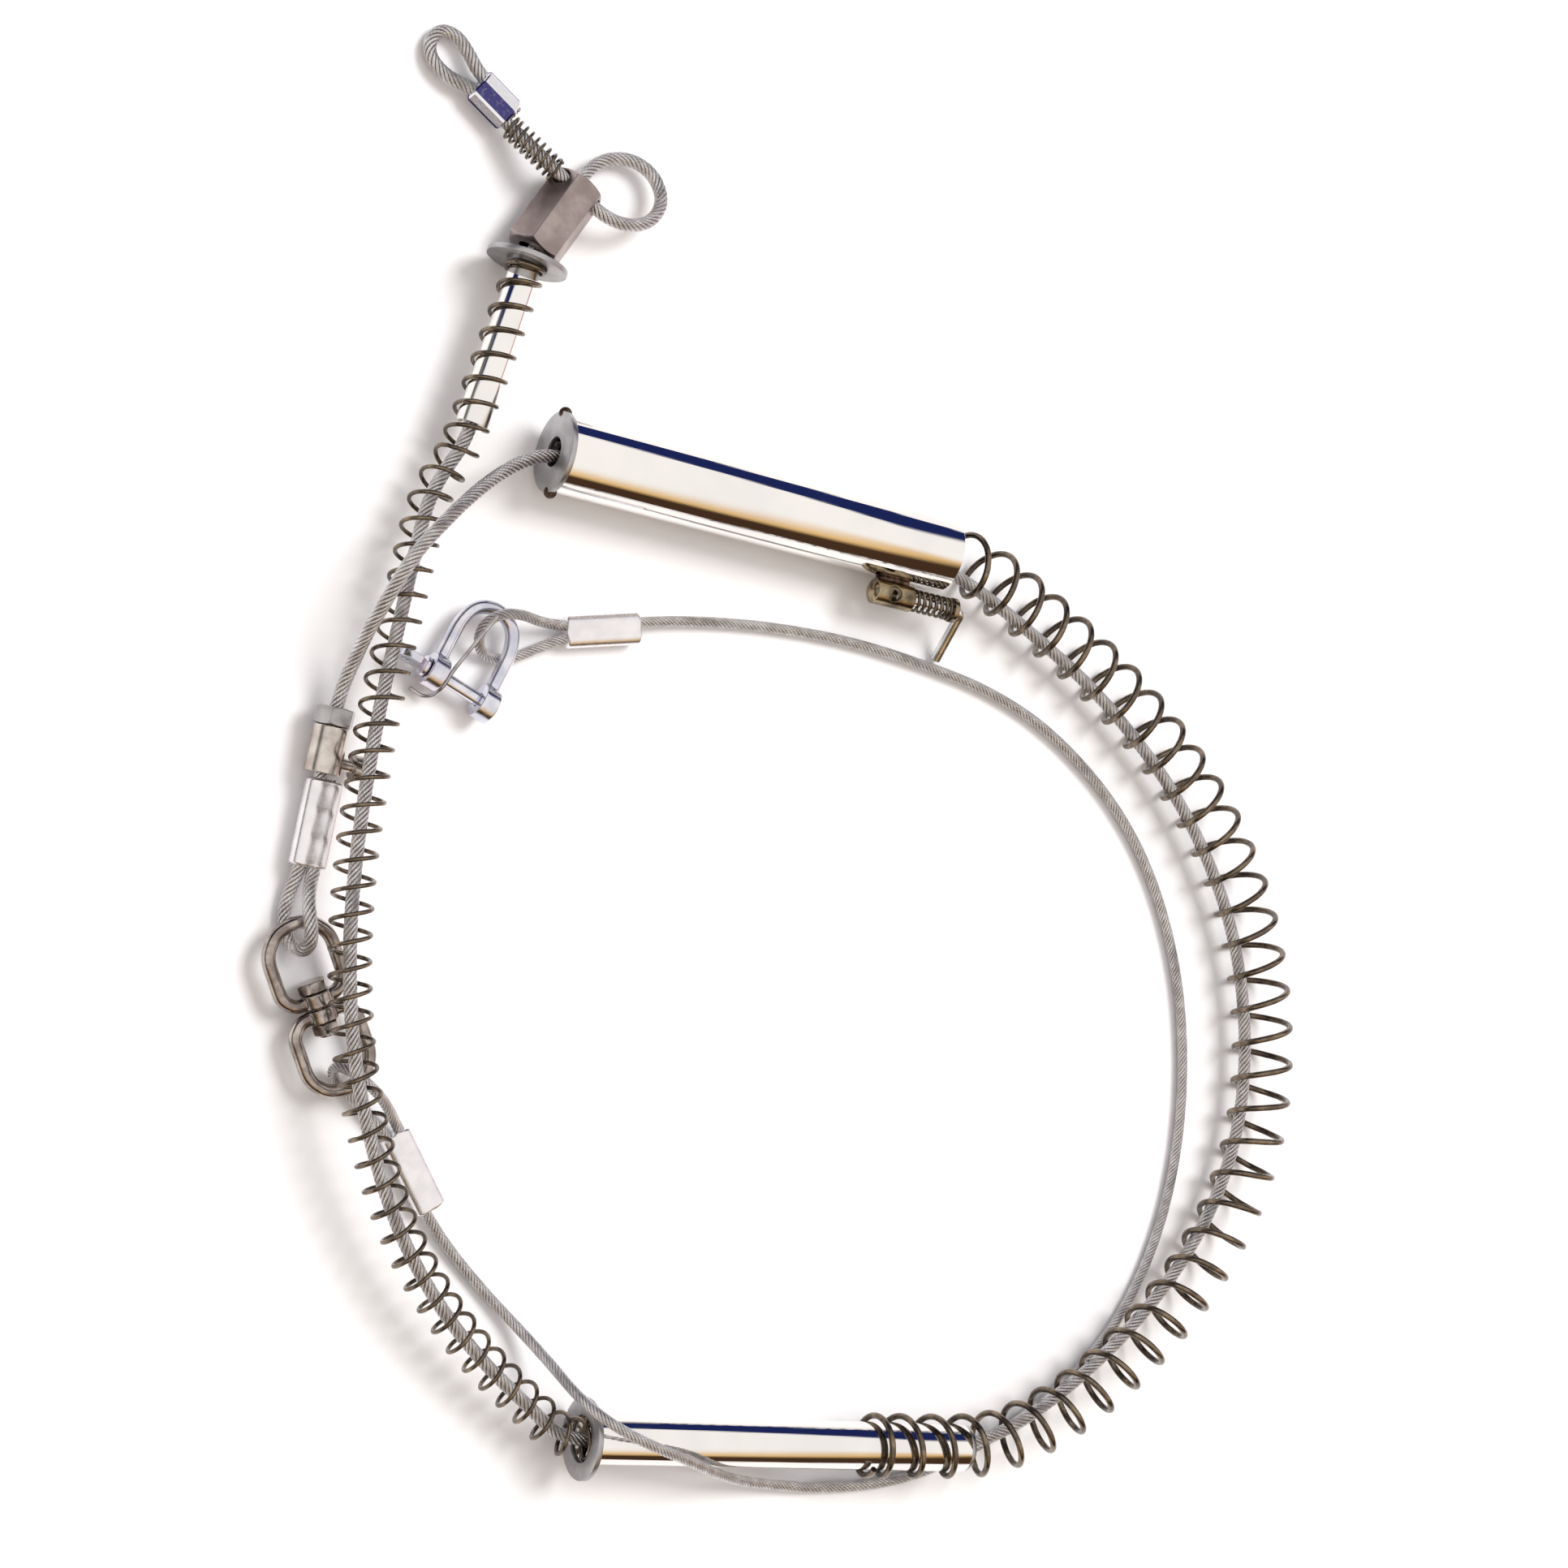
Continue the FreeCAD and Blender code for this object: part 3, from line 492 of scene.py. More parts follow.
class Shader:
    """One material or world tree with short ways to add nodes."""

    def __init__(self, tree):
        self.tree = tree

    def node(self, kind, settings=None, inputs=None):
        made = self.tree.nodes.new(kind)
        for key, item in (settings or {}).items():
            setattr(made, key, item)
        for key, item in (inputs or {}).items():
            self.feed(made.inputs[key], item)
        return made

    def feed(self, socket, item):
        if isinstance(item, Value):
            self.tree.links.new(item.socket, socket)
        elif isinstance(item, bpy.types.NodeSocket):
            self.tree.links.new(item, socket)
        else:
            socket.default_value = item

    def place(self):
        return self.node("ShaderNodeTexCoord").outputs["Object"]

    def mark(self, name):
        node = self.node("ShaderNodeAttribute", {"attribute_name": name})
        return Value(self.tree, node.outputs["Fac"])

    def grain(self, scale, detail):
        """Noise from 0 to 1 that is mostly near a half, in the piece's own space."""
        noise = self.node("ShaderNodeTexNoise", {}, {
            "Vector": self.place(), "Scale": scale, "Detail": detail, "Roughness": NOISE_ROUGHNESS})
        return Value(self.tree, noise.outputs["Fac"])

    def blend(self, mask, low, high):
        """A colour that goes from low to high with the mask."""
        mix = self.node("ShaderNodeMix", {"data_type": "RGBA"})
        self.feed(mix.inputs[0], mask)
        for slot, item in ((mix.inputs[6], low), (mix.inputs[7], high)):
            if isinstance(item, tuple) and len(item) == 3:
                item = (*item, 1.0)
            self.feed(slot, item)
        return mix.outputs[2]

    def bump(self, height, strength, distance):
        node = self.node("ShaderNodeBump", {}, {
            "Height": height, "Strength": strength, "Distance": distance * MM})
        return node.outputs["Normal"]


def metal(name, colour, rough, normal, coat=0.0):
    """Set up a metal and let the caller's functions fill what changes over its surface."""
    material = bpy.data.materials.new(name)
    material.use_nodes = True
    tree = material.node_tree
    shader = Shader(tree)
    surface = tree.nodes["Principled BSDF"]
    surface.inputs["Metallic"].default_value = 1.0
    if coat:
        surface.inputs["Coat Weight"].default_value = coat
        surface.inputs["Coat Roughness"].default_value = COAT_ROUGHNESS
    shader.feed(surface.inputs["Base Color"], colour(shader))
    shader.feed(surface.inputs["Roughness"], rough(shader))
    shader.feed(surface.inputs["Normal"], normal(shader))
    return material


def wire_wave(s):
    """The fine drawn wires that each strand is laid from."""
    return (s.mark("around") * WIRES_IN_STRAND + s.mark("along") * WIRE_LAY).sine()


def turning_wave(s):
    """Fine rings left by the lathe tool."""
    return (s.mark("radius") * TURNING_MARKS).sine()


def rope_steel(name, clean, groove_shade):
    """Bright drawn wires, with painted shade down between the strands and fainter painted shade
    between the wires.
    """
    def colour(s):
        # Low depth lies down in the grooves, where the colour goes to the painted shade.
        crown = s.mark("depth").step(0.58, 0.86)
        # The wire wave darkens the colour between the wires: painted shade.
        wires = (wire_wave(s) * 0.5 + 0.5).step(0.2, 0.9)
        wear = s.grain(260.0, 4.0).step(0.35, 0.7)
        worn = tuple(c * 0.85 for c in clean)
        burnished = tuple(min(c * 1.2, BRIGHTEST_WIRE) for c in clean)
        bright = s.blend(wear, worn, burnished)
        return s.blend(crown * (0.7 + wires * 0.3), groove_shade, bright)

    def rough(s):
        return 0.24 + s.grain(420.0, 2.0) * 0.16

    def normal(s):
        return s.bump(wire_wave(s), 0.6, 0.06)
    return metal(name, colour, rough, normal)


def spring_steel(name, dark, gold):
    """Oil tempered wire: dark bronze with golden patches along it, and a painted golden highlight
    on the outer side of each coil.
    """
    def colour(s):
        cloud = s.grain(150.0, 4.0).step(0.42, 0.68)
        streak = s.grain(900.0, 3.0).step(0.4, 0.75)
        # The golden tone on the wire's outward face is a painted highlight.
        outer_highlight = s.mark("outer").step(0.55, 1.0)
        return s.blend(cloud * 0.55 + streak * 0.2 + outer_highlight * 0.25, dark, gold)

    def rough(s):
        return 0.16 + s.grain(500.0, 3.0) * 0.22

    def normal(s):
        return s.bump(s.grain(1500.0, 2.0), 0.25, 0.05)
    return metal(name, colour, rough, normal, coat=0.25)


def polished_steel(name, tone, tint):
    """Mirror polished tube with faint drawing lines and handling haze."""
    def colour(s):
        haze = s.grain(28.0, 3.0).step(0.35, 0.7)
        return s.blend(haze, tone, tint)

    def rough(s):
        lines = s.grain(70.0, 2.0).step(0.45, 0.75)
        return 0.045 + lines * 0.05

    def normal(s):
        lines = (s.mark("around") * DRAWING_LINES).sine()
        return s.bump(lines * 0.5 + s.grain(60.0, 2.0), 0.06, 0.05)
    return metal(name, colour, rough, normal)


def turned_face(name, tone, dark):
    """Satin discs with fine turning rings and dark smears."""
    def colour(s):
        rings = turning_wave(s) * 0.5 + 0.5
        smear = s.grain(90.0, 4.0).step(0.35, 0.7)
        return s.blend(rings * 0.35 + smear * 0.65, dark, tone)

    def rough(s):
        return 0.26 + s.grain(300.0, 3.0) * 0.2

    def normal(s):
        return s.bump(turning_wave(s), 0.3, 0.03)
    return metal(name, colour, rough, normal)


def cast_finish(name, tone, dark, low, spread, scale=120.0, pits=0.25, tint=None):
    """Plated or bright metal with cloudy colour and light pitting."""
    def colour(s):
        cloud = s.grain(scale, 4.0).step(0.35, 0.68)
        mixed = s.blend(cloud, dark, tone)
        if tint is None:
            return mixed
        return s.blend(s.grain(scale * 0.45, 2.0).step(0.45, 0.65) * 0.6, mixed, tint)

    def rough(s):
        return low + s.grain(scale * 4.0, 3.0) * spread

    def normal(s):
        return s.bump(s.grain(scale * 9.0, 3.0), pits, 0.06)
    return metal(name, colour, rough, normal)


def facet_finish(name, bright, dark):
    """Bright pressed facets with dark blue ones between them: the dark blue is a painted
    reflection.
    """
    def colour(s):
        # Every other facet gets the painted dark blue reflection.
        facets = (s.mark("around") * FACET_COUNT * math.pi + FACET_PHASE).sine().step(-0.1, 0.1)
        scuffs = s.grain(700.0, 4.0).step(0.56, 0.66)
        return s.blend(facets * (1 - scuffs * 0.1), bright, dark)

    def rough(s):
        return 0.14 + s.grain(500.0, 3.0) * 0.16

    def normal(s):
        return s.bump(s.grain(1200.0, 3.0), 0.25, 0.06)
    return metal(name, colour, rough, normal)


def weld_finish(name):
    """Rough weld metal, browned by heat."""
    def colour(s):
        burnt = s.grain(500.0, 4.0).step(0.35, 0.7)
        return s.blend(burnt, (0.045, 0.028, 0.022), (0.20, 0.125, 0.09))

    def rough(s):
        return 0.35 + s.grain(900.0, 3.0) * 0.3

    def normal(s):
        return s.bump(s.grain(1800.0, 3.0), 0.6, 0.15)
    return metal(name, colour, rough, normal)


# Name, tone, dark tone, lowest roughness, its spread, cloud scale, pitting and tint.
CAST_FINISHES = {
    "latch": ("heat tinted latch", (0.42, 0.34, 0.22), (0.10, 0.075, 0.05), 0.12, 0.14),
    "nut": ("satin long nut", (0.46, 0.385, 0.37), (0.30, 0.245, 0.235), 0.24, 0.16, 90.0),
    "ferrule": ("pressed aluminium", (0.92, 0.90, 0.92), (0.82, 0.80, 0.82), 0.20, 0.16, 140.0),
    "stopper": ("machined stopper", (0.72, 0.67, 0.62), (0.44, 0.38, 0.34), 0.16, 0.14, 110.0),
    "gland": ("satin hexagon", (0.56, 0.55, 0.55), (0.36, 0.35, 0.35), 0.24, 0.16, 110.0),
    "swivel": ("polished swivel", (0.56, 0.50, 0.46), (0.24, 0.20, 0.18), 0.10, 0.16, 130.0),
    "shackle": ("bright zinc plate", (0.82, 0.82, 0.88), (0.58, 0.60, 0.70), 0.12, 0.16, 100.0,
                0.25, (0.86, 0.70, 0.74)),
    "latch pin": ("bright latch pin", (0.88, 0.87, 0.88), (0.64, 0.63, 0.64), 0.14, 0.12),
    "lock wire": ("lock wire", (0.64, 0.63, 0.65), (0.34, 0.33, 0.35), 0.14, 0.12),
}
FINISHES = {}


def made_finish(key):
    """A new material for one kind of surface."""
    look = bpy.context.scene.snare_finish
    if key in CAST_FINISHES:
        return cast_finish(*CAST_FINISHES[key])
    if key in ("snare rope", "tether rope"):
        # The last colour is the painted shade down in the rope's grooves.
        return rope_steel(key + " wires", tuple(look.rope_tone), ROPE_GROOVE_SHADE)
    if key in ("large spring", "small spring"):
        # The golden tone also gives the painted highlight on the coils' outer side.
        return spring_steel(key + " wire", tuple(look.spring_dark), tuple(look.spring_gold))
    if key == "tube":
        return polished_steel("polished tube", (0.93, 0.91, 0.88), (0.86, 0.84, 0.83))
    if key == "disc":
        return turned_face("turned disc", (0.52, 0.52, 0.53), (0.30, 0.29, 0.30))
    if key == "painted reflection ferrule":
        # The dark blue on alternate facets is a painted reflection on bright aluminium.
        return facet_finish(
            "faceted pressed aluminium", (0.88, 0.88, 0.92), (0.07, 0.065, 0.20))
    return weld_finish("heat browned weld")


def finish_of(key):
    """Make each finish once."""
    if key not in FINISHES:
        FINISHES[key] = made_finish(key)
    return FINISHES[key]


# ---- ropes, springs and sleeves --------------------------------------------
def laid_rope(name, points, diameter, lay, strands):
    """Strands laid round a core on a line, as one mesh."""
    line, length = even_steps(points, ROPE_STEP * MM)
    frames = carried_frames(line)
    sides = STRAND_SIDES
    strand = diameter * STRAND_SHARE
    orbit = diameter / 2 - strand
    groove = orbit * GROOVE_SHARE
    vertices, faces, depth, along, around = [], [], [], [], []
    for number in range(strands + 1):
        track = []
        for index, (point, (tangent, side, above)) in enumerate(zip(line, frames)):
            turn = 2 * math.pi * (number / strands + index * length / (len(line) - 1) / lay)
            offset = (side * math.cos(turn) + above * math.sin(turn)) * orbit
            track.append(point + offset if number < strands else point)
        thick = strand if number < strands else orbit * CORE_SHARE
        body, skin, marks = tube_geometry(track, thick, sides, len(vertices))
        for position, vertex in enumerate(body):
            centre = line[position // sides]
            out = (vertex - centre).length
            # How far a point stands out of the grooves; the rope shader paints shade where it is
            # low.
            depth.append(max(0.0, (out - groove) / (diameter / 2 - groove)))
        along.extend(mark[0] for mark in marks)
        around.extend(mark[1] for mark in marks)
        vertices.extend(body)
        faces.extend(skin)
    obj = new_object(name, vertices, faces, sharp=60)
    shade(obj, "depth", depth)
    shade(obj, "along", along)
    shade(obj, "around", around)
    return obj, line, length


def coil_line(line, frames, radius, turns, closed, phase, per_turn):
    """Points of a helix on a line, with one closer turn at each end."""
    last = len(line) - 1
    steps = int(turns * per_turn)
    points, outward = [], []
    for number in range(steps + 1):
        place = eased(number / steps, turns, closed) * last
        index = min(int(place), last - 1)
        point = line[index].lerp(line[index + 1], place - index)
        tangent, side, above = frames[index]
        angle = phase + 2 * math.pi * number / per_turn
        offset = side * math.cos(angle) + above * math.sin(angle)
        points.append(point + offset * radius)
        outward.append(offset)
    return points, outward


def eased(share, turns, tight):
    """How far along the coil is when its end turns advance more slowly."""
    ends = 1.0 / turns
    total = (1 - 2 * ends) + 2 * ends * tight
    if share < ends:
        return share * tight / total
    if share < 1 - ends:
        return (ends * tight + share - ends) / total
    return (ends * tight + 1 - 2 * ends + (share - 1 + ends) * tight) / total


def wound_spring(name, points, wire, outside, pitch, closed, phase=0.0, per_turn=36, sides=12):
    """A spring of round wire wound on a bent line."""
    line, length = even_steps(points, SPRING_STEP * MM)
    frames = carried_frames(line)
    radius = (outside - wire) / 2
    turns = max(FEWEST_TURNS, length / pitch)
    helix, outward = coil_line(line, frames, radius, turns, closed, phase, per_turn)
    vertices, faces, marks = tube_geometry(helix, wire / 2, sides, 0)
    obj = new_object(name, vertices, faces, sharp=60)
    outer = []
    for position, vertex in enumerate(vertices):
        index = position // sides
        # How far each point faces out from the coil's axis; the spring shader paints its golden
        # highlight there.
        away = (vertex - helix[index]).dot(outward[index]) / (wire / 2)
        outer.append(away * 0.5 + 0.5)
    shade(obj, "outer", outer)
    shade(obj, "along", [mark[0] for mark in marks])
    return obj


def pressed_sleeve(name, start, end, width, height, facets):
    """An oval sleeve waisted between its two ropes, or a faceted one, with eased ends."""
    start, end = at(start), at(end)
    length = (end - start).length
    matrix = local_frame(start, heading(start, end))
    rings, sides = SLEEVE_RINGS, SLEEVE_SIDES
    vertices, faces = [], []
    for ring in range(rings + 1):
        share = ring / rings
        edge = min(share, 1 - share) * length / MM
        ease = 1 - SLEEVE_END_EASE * max(0.0, 1 - edge / SLEEVE_END_LENGTH) ** 2
        for side in range(sides):
            angle = 2 * math.pi * side / sides
            c, s = math.cos(angle), math.sin(angle)
            power = 2 / SLEEVE_SQUARENESS
            y = math.copysign(abs(c) ** power, c) * width / 2
            z = math.copysign(abs(s) ** power, s) * height / 2
            if facets:
                sector = math.pi / facets
                wedge = (angle % (2 * sector)) - sector
                flat = math.cos(sector) / math.cos(wedge)
                y = c * flat * width / 2 * FACET_SPREAD
                z = s * flat * height / 2 * FACET_SPREAD
            else:
                z *= 1 - SLEEVE_WAIST * max(0.0, 1 - abs(c) / SLEEVE_WAIST_WIDTH) ** 2
            point = Vector((share * length / MM, y * ease, z * ease))
            vertices.append(matrix @ (point * MM))
    for ring in range(rings):
        for side in range(sides):
            follow = (side + 1) % sides
            low, high = ring * sides, (ring + 1) * sides
            faces.append((low + side, low + follow, high + follow, high + side))
    faces.append(tuple(reversed(range(sides))))
    faces.append(tuple(rings * sides + side for side in range(sides)))
    obj = new_object(name, vertices, faces, sharp=30 if facets else 50)
    shade(obj, "around", [side / sides for ring in range(rings + 1) for side in range(sides)])
    flip_outward(obj)
    return obj


# ---- settings ----------------------------------------------------------------
class SnareRope(bpy.types.PropertyGroup):
    """Sizes of the two ropes."""
    snare_diameter: bpy.props.FloatProperty(
        name="Snare rope", description="Diameter of the snare rope", default=0.005,
        min=0.003, max=0.008, subtype="DISTANCE", unit="LENGTH")
    tether_diameter: bpy.props.FloatProperty(
        name="Tether rope", description="Diameter of the tether rope", default=0.004,
        min=0.003, max=0.006, subtype="DISTANCE", unit="LENGTH")
    lay: bpy.props.FloatProperty(
        name="Lay", description="Length of rope in which a strand goes round once", default=0.017,
        min=0.01, max=0.05, subtype="DISTANCE", unit="LENGTH")
    strands: bpy.props.IntProperty(
        name="Strands", description="Outer strands in each rope", default=8, min=5, max=12)


class SnareSpring(bpy.types.PropertyGroup):
    """Sizes of the springs."""
    large_wire: bpy.props.FloatProperty(
        name="Large wire", description="Wire of the large spring", default=0.0024,
        subtype="DISTANCE", unit="LENGTH")
    large_outside: bpy.props.FloatProperty(
        name="Large outside", description="Outside of the large spring", default=0.0246,
        subtype="DISTANCE", unit="LENGTH")
    large_pitch: bpy.props.FloatProperty(
        name="Large pitch", description="Pitch of the large spring", default=0.0138,
        subtype="DISTANCE", unit="LENGTH")
    small_wire: bpy.props.FloatProperty(
        name="Small wire", description="Wire of the small spring", default=0.0016,
        subtype="DISTANCE", unit="LENGTH")
    small_outside: bpy.props.FloatProperty(
        name="Small outside", description="Outside of the small spring", default=0.0158,
        subtype="DISTANCE", unit="LENGTH")
    small_pitch: bpy.props.FloatProperty(
        name="Small pitch", description="Pitch of the small spring", default=0.0092,
        subtype="DISTANCE", unit="LENGTH")


class SnareFinish(bpy.types.PropertyGroup):
    """Colours of the main finishes."""
    rope_tone: bpy.props.FloatVectorProperty(
        name="Rope", description="Tone of clean rope wires", default=(0.80, 0.76, 0.76),
        subtype="COLOR", size=3)
    spring_dark: bpy.props.FloatVectorProperty(
        name="Spring dark", description="Dark tone of the spring wire",
        default=(0.060, 0.045, 0.036), subtype="COLOR", size=3)
    # This golden tone serves the wire's random patches and the painted highlight on the coils'
    # outer side.
    spring_gold: bpy.props.FloatVectorProperty(
        name="Spring gold", description="Rubbed tone of the spring wire",
        default=(0.30, 0.235, 0.165), subtype="COLOR", size=3)


class SnareStage(bpy.types.PropertyGroup):
    """Light and camera."""
    key_strength: bpy.props.FloatProperty(
        name="Key light", description="Strength of the key light", default=2.2, min=0.0, max=20.0)
    sky_strength: bpy.props.FloatProperty(
        name="Sky", description="Strength of the studio's dome", default=1.0, min=0.0, max=10.0)
    field: bpy.props.FloatProperty(
        name="Field of view", description="The camera's angle of view", default=math.radians(21.87),
        subtype="ANGLE", unit="ROTATION")
    distance: bpy.props.FloatProperty(
        name="Distance", description="From the camera to the middle of the layout", default=1.515,
        subtype="DISTANCE", unit="LENGTH")


# ---- operators ----------------------------------------------------------------
class BuildStep(bpy.types.Operator):
    """One step of the build"""
    bl_options = {"REGISTER", "UNDO"}


class SNARE_OT_stage(BuildStep):
    """Camera, floor, key light and studio dome"""
    bl_idname = "snare.stage"
    bl_label = "Stage"

    def execute(self, context):
        stage = context.scene.snare_stage
        lean = math.radians(CAMERA_TILT)
        right = Vector((math.cos(lean), 0, math.sin(lean)))
        back = Vector((-math.sin(lean), 0, math.cos(lean)))
        matrix = Matrix((right, Vector((0, 1, 0)), back)).transposed().to_4x4()
        matrix.translation = at((0, 0, 0)) + back * stage.distance
        lens = bpy.data.cameras.new("view camera")
        lens.angle = stage.field
        lens.clip_start = CAMERA_CLIP
        camera = bpy.data.objects.new("view camera", lens)
        camera.matrix_world = matrix
        context.scene.collection.objects.link(camera)
        context.scene.camera = camera

        size = FLOOR_REACH
        corners = [(-size, -size, 0), (size, -size, 0), (size, size, 0), (-size, size, 0)]
        floor = new_object("floor", corners, [(0, 1, 2, 3)])
        floor.location.z = -FLOOR_GAP
        paint = bpy.data.materials.new("white board")
        paint.use_nodes = True
        surface = paint.node_tree.nodes["Principled BSDF"]
        surface.inputs["Base Color"].default_value = FLOOR_TONE
        surface.inputs["Roughness"].default_value = 0.6
        surface.inputs["Specular IOR Level"].default_value = 0.2
        floor.data.materials.append(paint)

        light = bpy.data.lights.new("key light", "SUN")
        light.energy = stage.key_strength
        light.angle = math.radians(KEY_SOFTNESS)
        light.color = KEY_TONE
        key = bpy.data.objects.new("key light", light)
        toward = Vector(KEY_SIDE).normalized()
        key.rotation_euler = toward.to_track_quat("Z", "Y").to_euler()
        key.location = toward * 2
        key.visible_glossy = False
        context.scene.collection.objects.link(key)
        context.scene.view_settings.view_transform = "Standard"

        world = bpy.data.worlds.new("studio dome")
        world.use_nodes = True
        context.scene.world = world
        s = Shader(world.node_tree)
        parts = s.node("ShaderNodeSeparateXYZ", {}, {
            "Vector": s.node("ShaderNodeTexCoord").outputs["Generated"]})
        x, y, z = (Value(s.tree, parts.outputs[axis]) for axis in range(3))
        front, left = y * -1.0, x * -1.0
        bands = (
            ((1 - z.step(0.49, 0.54)) * y.step(0.30, 0.42), NAVY),
            ((1 - z.step(0.50, 0.90)) * front.step(0.25, 0.5), GOLD),
            ((1 - z.step(0.38, 0.56)) * front.step(0.3, 0.5), BROWN),
            ((1 - z.step(0.25, 0.50)) * left.step(0.6, 0.85), GREY_GREEN),
            ((1 - z.step(0.06, 0.22)) * x.step(0.75, 0.92) * (1 - y.step(0.2, 0.5)), WINE))
        colour = CREAM
        for mask, tone in bands:
            colour = s.blend(mask, colour, tone)
        background = world.node_tree.nodes["Background"]
        s.feed(background.inputs["Color"], colour)
        background.inputs["Strength"].default_value = stage.sky_strength
        return {"FINISHED"}


class SNARE_OT_ropes(BuildStep):
    """The snare rope and the tether rope"""
    bl_idname = "snare.ropes"
    bl_label = "Ropes"

    def execute(self, context):
        rope = context.scene.snare_rope
        for node, route, diameter, key in (
                ("snare_cable", SNARE_ROUTE, rope.snare_diameter, "snare rope"),
                ("tether_cable", TETHER_ROUTE, rope.tether_diameter, "tether rope")):
            points = spline_points(node, route)
            lay = rope.lay * diameter / LAY_DIAMETER
            obj, line, length = laid_rope(node + "_strands", points, diameter, lay, rope.strands)
            stand_for(obj, node, finish_of(key))
        return {"FINISHED"}


class SNARE_OT_springs(BuildStep):
    """Large, small and buffer springs"""
    bl_idname = "snare.springs"
    bl_label = "Springs"

    def execute(self, context):
        spring = context.scene.snare_spring
        line = spline_points("large_spring", LARGE_SPRING_LINE)
        obj = wound_spring("large_spring_wire", line, spring.large_wire, spring.large_outside,
                           spring.large_pitch, closed=0.45, phase=LARGE_SPRING_PHASE)
        stand_for(obj, "large_spring", finish_of("large spring"))
        line = spline_points(
            "small_spring", SMALL_SPRING_START + SNARE_IN_SMALL_SPRING + SMALL_SPRING_END)
        obj = wound_spring("small_spring_wire", line, spring.small_wire, spring.small_outside,
                           spring.small_pitch, closed=0.3, phase=SMALL_SPRING_PHASE,
                           per_turn=30, sides=10)
        middle = heading(MIDDLE_START, MIDDLE_END)
        plunger = heading(PLUNGER_START, PLUNGER_END)
        plunger_half = cut_across(obj, "small_spring_plunger_half", at(SMALL_SPRING_SPLIT).y)
        stand_for(obj, "small_spring", finish_of("small spring"), rides=False)
        tuple(at(MIDDLE_START - middle * MIDDLE_EASE))
        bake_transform(obj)
        stand_for(plunger_half, "small_spring", finish_of("small spring"), rides=False)
        tuple(at(PLUNGER_END + plunger * PLUNGER_EASE))
        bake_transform(plunger_half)
        line = spline_points("buffer_spring", BUFFER_SPRING_LINE)
        obj = wound_spring("buffer_spring_wire", line, wire=0.0011, outside=0.0094, pitch=0.0025,
                           closed=0.6, per_turn=30, sides=10)
        stand_for(obj, "buffer_spring", finish_of("small spring"))
        return {"FINISHED"}


class SNARE_OT_tubes(BuildStep):
    """Housing, middle and thin tubes with their discs"""
    bl_idname = "snare.tubes"
    bl_label = "Tubes and discs"

    def execute(self, context):
        housing = heading(HOUSING_START, HOUSING_END)
        middle = heading(MIDDLE_START, MIDDLE_END)
        plunger = heading(PLUNGER_START, PLUNGER_END)
        # Where it starts and ends along its axis, its outer radius and its inner one.
        tubes = (
            ("housing_tube", HOUSING_START, housing, 2.0, 168.2, 14.3, 13.3),
            ("middle_tube", MIDDLE_START, middle, 2.0, 160.9, 9.0, 8.5),
            ("plunger_tube", PLUNGER_START, plunger, 0.0, 62.0, 5.9, 5.0))
        for node, origin, along, start, end, outer, inner in tubes:
            edge = min(TURNED_EDGE, (outer - inner) * 0.4)
            profile = ring_profile(start, end, outer, inner, edge)
            obj = lathe(node + "_wall", profile, origin, along)
            stand_for(obj, node, finish_of("tube"))
        discs = (
            ("housing_cap", HOUSING_START, housing, 0.0, 2.0, 15.0, 5.5),
            ("middle_flange", MIDDLE_START, middle, 0.0, 2.0, 15.0, 8.5),
            ("plunger_washer", PLUNGER_START, plunger, -2.0, 0.0, 15.0, 5.0),
            ("middle_stop", MIDDLE_START, middle, 160.9, 162.9, 8.5, 4.6))
        for node, origin, along, start, end, outer, inner in discs:
            profile = ring_profile(start, end, outer, inner, TURNED_EDGE)
            obj = lathe(node + "_disc", profile, origin, along)
            stand_for(obj, node, finish_of("disc"))
        beads = softened("cap_tack_welds", "tack_weld_beads", 0.2, 4)
        stand_for(beads, "cap_tack_welds", finish_of("weld"))
        return {"FINISHED"}


class SNARE_OT_latch(BuildStep):
    """Side latch with its barrel, spring, collar and bent pin"""
    bl_idname = "snare.latch"
    bl_label = "Latch"

    def execute(self, context):
        along = heading(HOUSING_START, HOUSING_END)
        side = UP.cross(along)
        axis = HOUSING_START - side * LATCH_OFFSET
        for node, voxel, key in (("latch_barrel", 0.2, "latch"), ("latch_weld", 0.25, "weld"),
                                 ("latch_seat", 0.2, "latch"), ("latch_pin", 0.2, "latch pin")):
            stand_for(softened(node, node + "_metal", voxel, 4), node, finish_of(key))
        line = [at(axis + along * place) for place in LATCH_SPRING_PLACES]
        obj = wound_spring("latch_spring_wire", line, wire=0.0012, outside=0.0088, pitch=0.0023,
                           closed=0.6, per_turn=30, sides=10)
        stand_for(obj, "latch_spring", finish_of("small spring"), rides=False)
        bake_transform(obj)
        return {"FINISHED"}


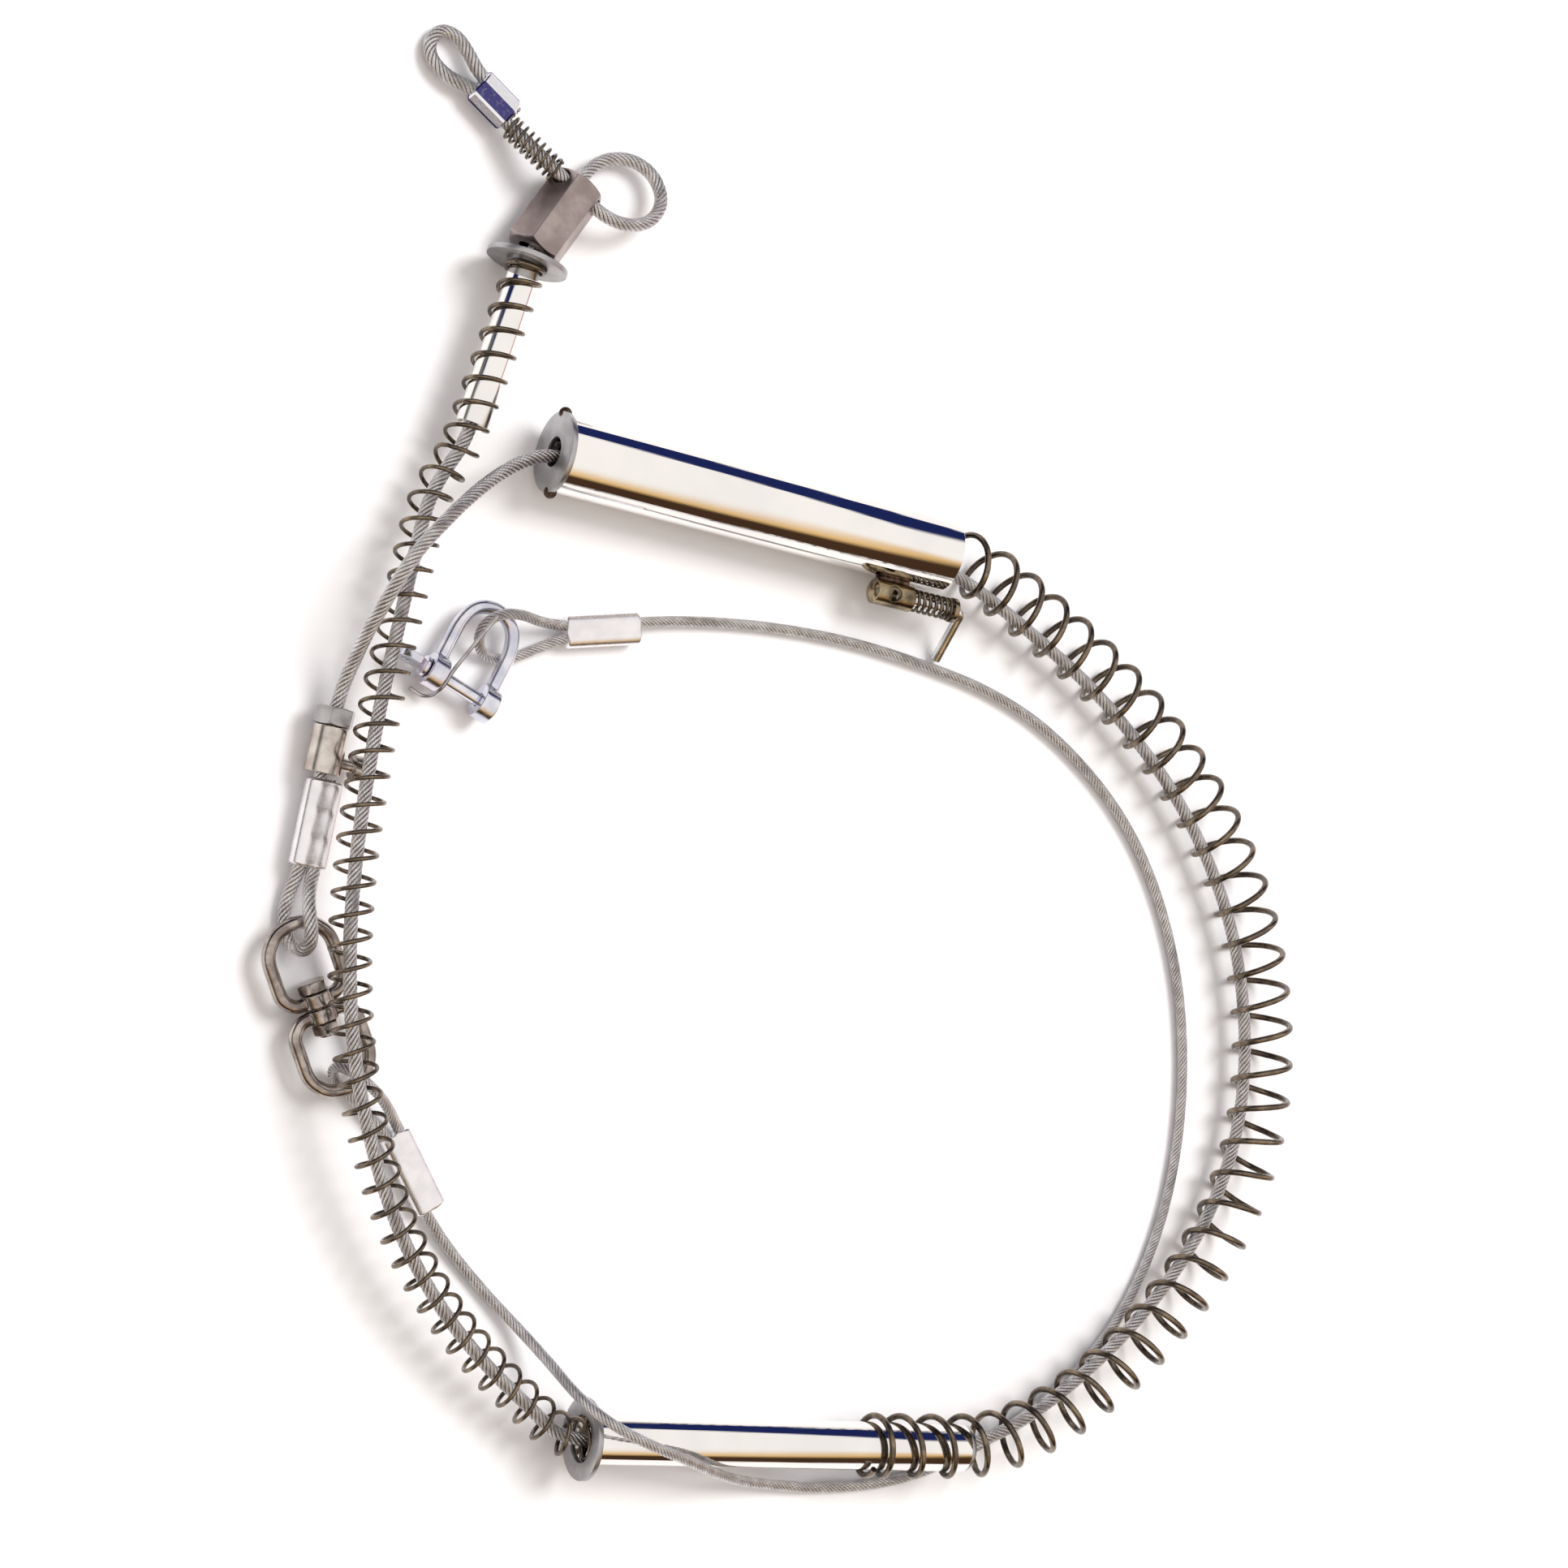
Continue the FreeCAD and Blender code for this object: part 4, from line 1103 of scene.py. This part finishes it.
class SNARE_OT_sleeves(BuildStep):
    """Pressed sleeves on the ropes"""
    bl_idname = "snare.sleeves"
    bl_label = "Pressed sleeves"

    def execute(self, context):
        sleeves = (
            ("swivel_ferrule_snare", SNARE_STOP_LEG[:3], SNARE_DEAD_LEG,
             1.0, 31.0, 14.0, 8.5, 0, "ferrule"),
            ("swivel_ferrule_tether", TETHER_LIVE_LEG, TETHER_DEAD_LEG,
             0.5, 31.0, 12.0, 7.5, 0, "ferrule"),
            ("shackle_ferrule", TETHER_FERRULE_IN[::-1], TETHER_FERRULE_OUT[::-1],
             0.5, 30.0, 12.0, 7.5, 0, "ferrule"),
            ("noose_ferrule", SNARE_FERRULE_IN[::-1], SNARE_FERRULE_OUT[::-1],
             1.0, 16.0, 13.8, 8.6, 8, "painted reflection ferrule"))
        for node, first, second, inset, length, width, height, facets, key in sleeves:
            start = (Vector(first[0]) + Vector(second[-1])) / 2
            end = (Vector(first[-1]) + Vector(second[0])) / 2
            along = heading(start, end)
            obj = pressed_sleeve(node + "_shell", start + along * inset,
                                 start + along * (inset + length), width, height, facets)
            stand_for(obj, node, finish_of(key))
        return {"FINISHED"}


class SNARE_OT_fittings(BuildStep):
    """Long nut, stopper, swivel and shackle"""
    bl_idname = "snare.fittings"
    bl_label = "Nut, stopper, swivel and shackle"

    def execute(self, context):
        for node, voxel, passes, key in (
                ("long_nut", 0.25, 4, "nut"), ("stopper_sleeve", 0.2, 4, "stopper"),
                ("stopper_gland", 0.2, 4, "gland"), ("stopper_screw", 0.18, 3, "stopper"),
                ("swivel_bow_snare", 0.25, 10, "swivel"), ("swivel_bow_tether", 0.25, 10, "swivel"),
                ("swivel_bolt", 0.2, 4, "swivel"), ("swivel_nut", 0.2, 4, "swivel"),
                ("shackle_bow", 0.25, 20, "shackle"), ("shackle_pin", 0.2, 5, "shackle"),
                ("lock_wire", 0.15, 3, "lock wire")):
            stand_for(softened(node, node + "_metal", voxel, passes), node, finish_of(key))
        return {"FINISHED"}


STEPS = (SNARE_OT_stage, SNARE_OT_ropes, SNARE_OT_springs, SNARE_OT_tubes, SNARE_OT_latch,
         SNARE_OT_sleeves, SNARE_OT_fittings)


class SNARE_PT_build(bpy.types.Panel):
    """Lists the snare's build steps"""
    bl_idname = "SNARE_PT_build"
    bl_label = "Cable snare"
    bl_space_type = "VIEW_3D"
    bl_region_type = "UI"
    bl_category = "Snare"

    def draw(self, context):
        for settings in (context.scene.snare_rope, context.scene.snare_spring,
                         context.scene.snare_finish, context.scene.snare_stage):
            for name in settings.__annotations__:
                self.layout.prop(settings, name)
        for step in STEPS:
            self.layout.operator(step.bl_idname)


GROUPS = {"snare_rope": SnareRope, "snare_spring": SnareSpring,
          "snare_finish": SnareFinish, "snare_stage": SnareStage}


def register():
    for cls in (*GROUPS.values(), *STEPS, SNARE_PT_build):
        bpy.utils.register_class(cls)
    for name, group in GROUPS.items():
        setattr(bpy.types.Scene, name, bpy.props.PointerProperty(type=group))


def unregister():
    for name in GROUPS:
        delattr(bpy.types.Scene, name)
    for cls in (SNARE_PT_build, *reversed(STEPS), *reversed(list(GROUPS.values()))):
        bpy.utils.unregister_class(cls)


def main():
    register()
    for step in STEPS:
        group, action = step.bl_idname.split(".")
        getattr(getattr(bpy.ops, group), action)()


if __name__ == "__main__":
    main()
